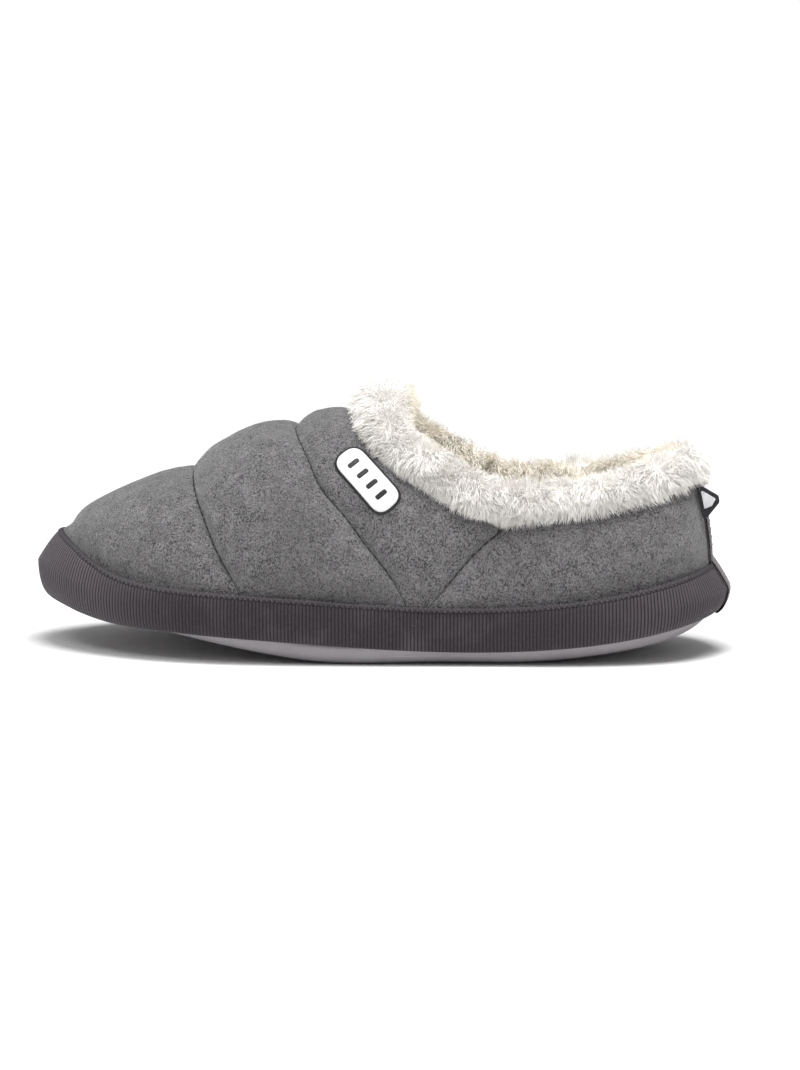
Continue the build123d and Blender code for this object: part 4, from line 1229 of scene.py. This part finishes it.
def badge_marks(centre, across, up, out, relief):
    """A plain row of dark bars printed on the badge."""
    for k in range(4):
        middle = -8.4 + 5.6 * k
        shape = rounded([(middle - 1.0, -2.6), (middle + 1.0, -2.6), (middle + 1.0, 2.6), (middle - 1.0, 2.6)], 1.0, 5)
        plate(f"badge_bar_{k + 1}", centre, across, up, out, shape, 1.0, 1.34, 0.05, BADGE_EDGE_MAT,
              (), BODY, relief)


def pull_tab():
    """A folded ribbon tab with a plain woven patch on each face."""
    foot, head = np.array(TAB_FOOT), np.array(TAB_HEAD)
    run = (head - foot) / np.linalg.norm(head - foot)
    up = np.array([run[0], 0, run[1]])
    across = np.array([-run[1], 0, run[0]])
    side = np.array([0, 1.0, 0])
    centre = np.array([foot[0], TAB_SIDE, foot[1]])
    outer = rounded([(-0.9, 0.4), (0.9, 0.2), (6.9, 5.2), (7.1, 7.8), (1.8, 12.6), (-0.9, 12.6)], 0.7, 6)
    for way, label in ((1, "near"), (-1, "far")):
        plate(f"tab_ply_{label}", centre, across, up, side * way, outer, 0.02, TAB_THICK / 2, 0.2, TAB_MAT,
              ("pull_tab",) if way > 0 else (), TAB_BODY)
        patch = rounded([(0.6, 3.9), (3.6, 4.4), (5.8, 6.9), (1.4, 11.0), (0.6, 11.0)], 0.4, 5)
        plate(f"tab_patch_{label}", centre, across, up, side * way, patch, TAB_THICK / 2 - 0.05,
              TAB_THICK / 2 + 0.22, 0.08, LABEL_MAT, ("pull_tab_label",) if way > 0 else (), TAB_BODY)
        line = np.array([centre + across * 0.35 + up * v + side * way * TAB_THICK / 2 for v in np.linspace(1, 12, 20)])
        stitch_row(f"tab_stitches_{label}", line, np.tile(side * way, (20, 1)),
                   ("pull_tab_stitching",) if way > 0 else (), 1.9, 1.3, 0.35, 0.02, None, TAB_BODY)


def hidden_pieces():
    """Pieces inside the slipper keep their shape and get a material of their own."""
    for node, mat in (("midsole_foam", FOAM_MAT), ("footbed_foam", FOAM_MAT), ("insole_board", BOARD_MAT),
                      ("heel_counter", BOARD_MAT)):
        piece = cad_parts[node]
        piece.data.materials.clear()
        piece.data.materials.append(mat)


# ---- camera, light and floor -------------------------------------------------------------
def camera():
    data = bpy.data.cameras.new("camera")
    data.lens = 134.8
    data.sensor_width = 36
    data.clip_end = 20
    obj = bpy.data.objects.new("camera", data)
    bpy.context.scene.collection.objects.link(obj)
    target = Vector((-0.007, 0.0, 0.0451))
    azimuth, elevation, distance = math.radians(185), math.radians(8.8), 1.6
    back = Vector((math.sin(azimuth) * math.cos(elevation), -math.cos(azimuth) * math.cos(elevation),
                   math.sin(elevation)))
    obj.location = target + back * distance
    obj.rotation_euler = back.to_track_quat("Z", "Y").to_euler()
    bpy.context.scene.camera = obj


def area_light(name, place, target, size, power, shape="RECTANGLE"):
    data = bpy.data.lights.new(name, "AREA")
    data.shape, data.size, data.size_y, data.energy = shape, size[0], size[1], power
    obj = bpy.data.objects.new(name, data)
    obj.location = place
    obj.rotation_euler = (Vector(place) - Vector(target)).to_track_quat("Z", "Y").to_euler()
    bpy.context.scene.collection.objects.link(obj)


def studio():
    """A white sweep that stays white far from the slipper, under soft overhead light."""
    mesh = bpy.data.meshes.new("floor")
    mesh.from_pydata([(-40, -40, 0), (40, -40, 0), (40, 40, 0), (-40, 40, 0)], [], [(0, 1, 2, 3)])
    mat, tree, shader = material("floor", (0.93, 0.93, 0.93), 0.95, 0, 0.5, 0.05)
    place = add(tree, "ShaderNodeTexCoord").outputs["Object"]
    reach = add(tree, "ShaderNodeVectorMath", operation="LENGTH")
    tree.links.new(place, reach.inputs[0])
    far = add(tree, "ShaderNodeMapRange")
    far.inputs["From Min"].default_value, far.inputs["From Max"].default_value = 0.35, 0.8
    tree.links.new(reach.outputs["Value"], far.inputs["Value"])
    glow = add(tree, "ShaderNodeEmission", Strength=1.05)
    blend = add(tree, "ShaderNodeMixShader")
    tree.links.new(far.outputs["Result"], blend.inputs[0])
    tree.links.new(shader.outputs[0], blend.inputs[1])
    tree.links.new(glow.outputs[0], blend.inputs[2])
    tree.links.new(blend.outputs[0], tree.nodes["Material Output"].inputs["Surface"])
    mesh.materials.append(mat)
    floor = bpy.data.objects.new("floor", mesh)
    bpy.context.scene.collection.objects.link(floor)
    world = bpy.data.worlds.new("studio")
    world.use_nodes = True
    world.node_tree.nodes["Background"].inputs["Color"].default_value = (1, 1, 1, 1)
    world.node_tree.nodes["Background"].inputs["Strength"].default_value = 0.28
    bpy.context.scene.world = world
    area_light("key", (-0.15, 0.3, 1.4), (0, 0, 0.03), (0.8, 0.8), 28)
    area_light("fill", (0.45, 1.1, 1.5), (0, 0, 0.05), (1.0, 0.6), 9)


bpy.context.scene.view_settings.view_transform = "Standard"
camera()
studio()
hidden_pieces()
instep_skin = upper()
band()
band_stitching()
seam_stitching("toe_seam_stitches", toe_seam, 40, 90, ("toe_seam_stitching",))
seam_stitching("vamp_seam_stitches", vamp_seam, -30, 50, ("vamp_seam_stitching",))
side_stitching("side_seam_stitches_outer", 1, ("side_seam_stitching_outer",))
side_stitching("side_seam_stitches_inner", -1, ("side_seam_stitching_inner",))
heel_tape()
badge(instep_skin)
pull_tab()
outsole()
collar()
front_lining()
heel_lining()
insole()
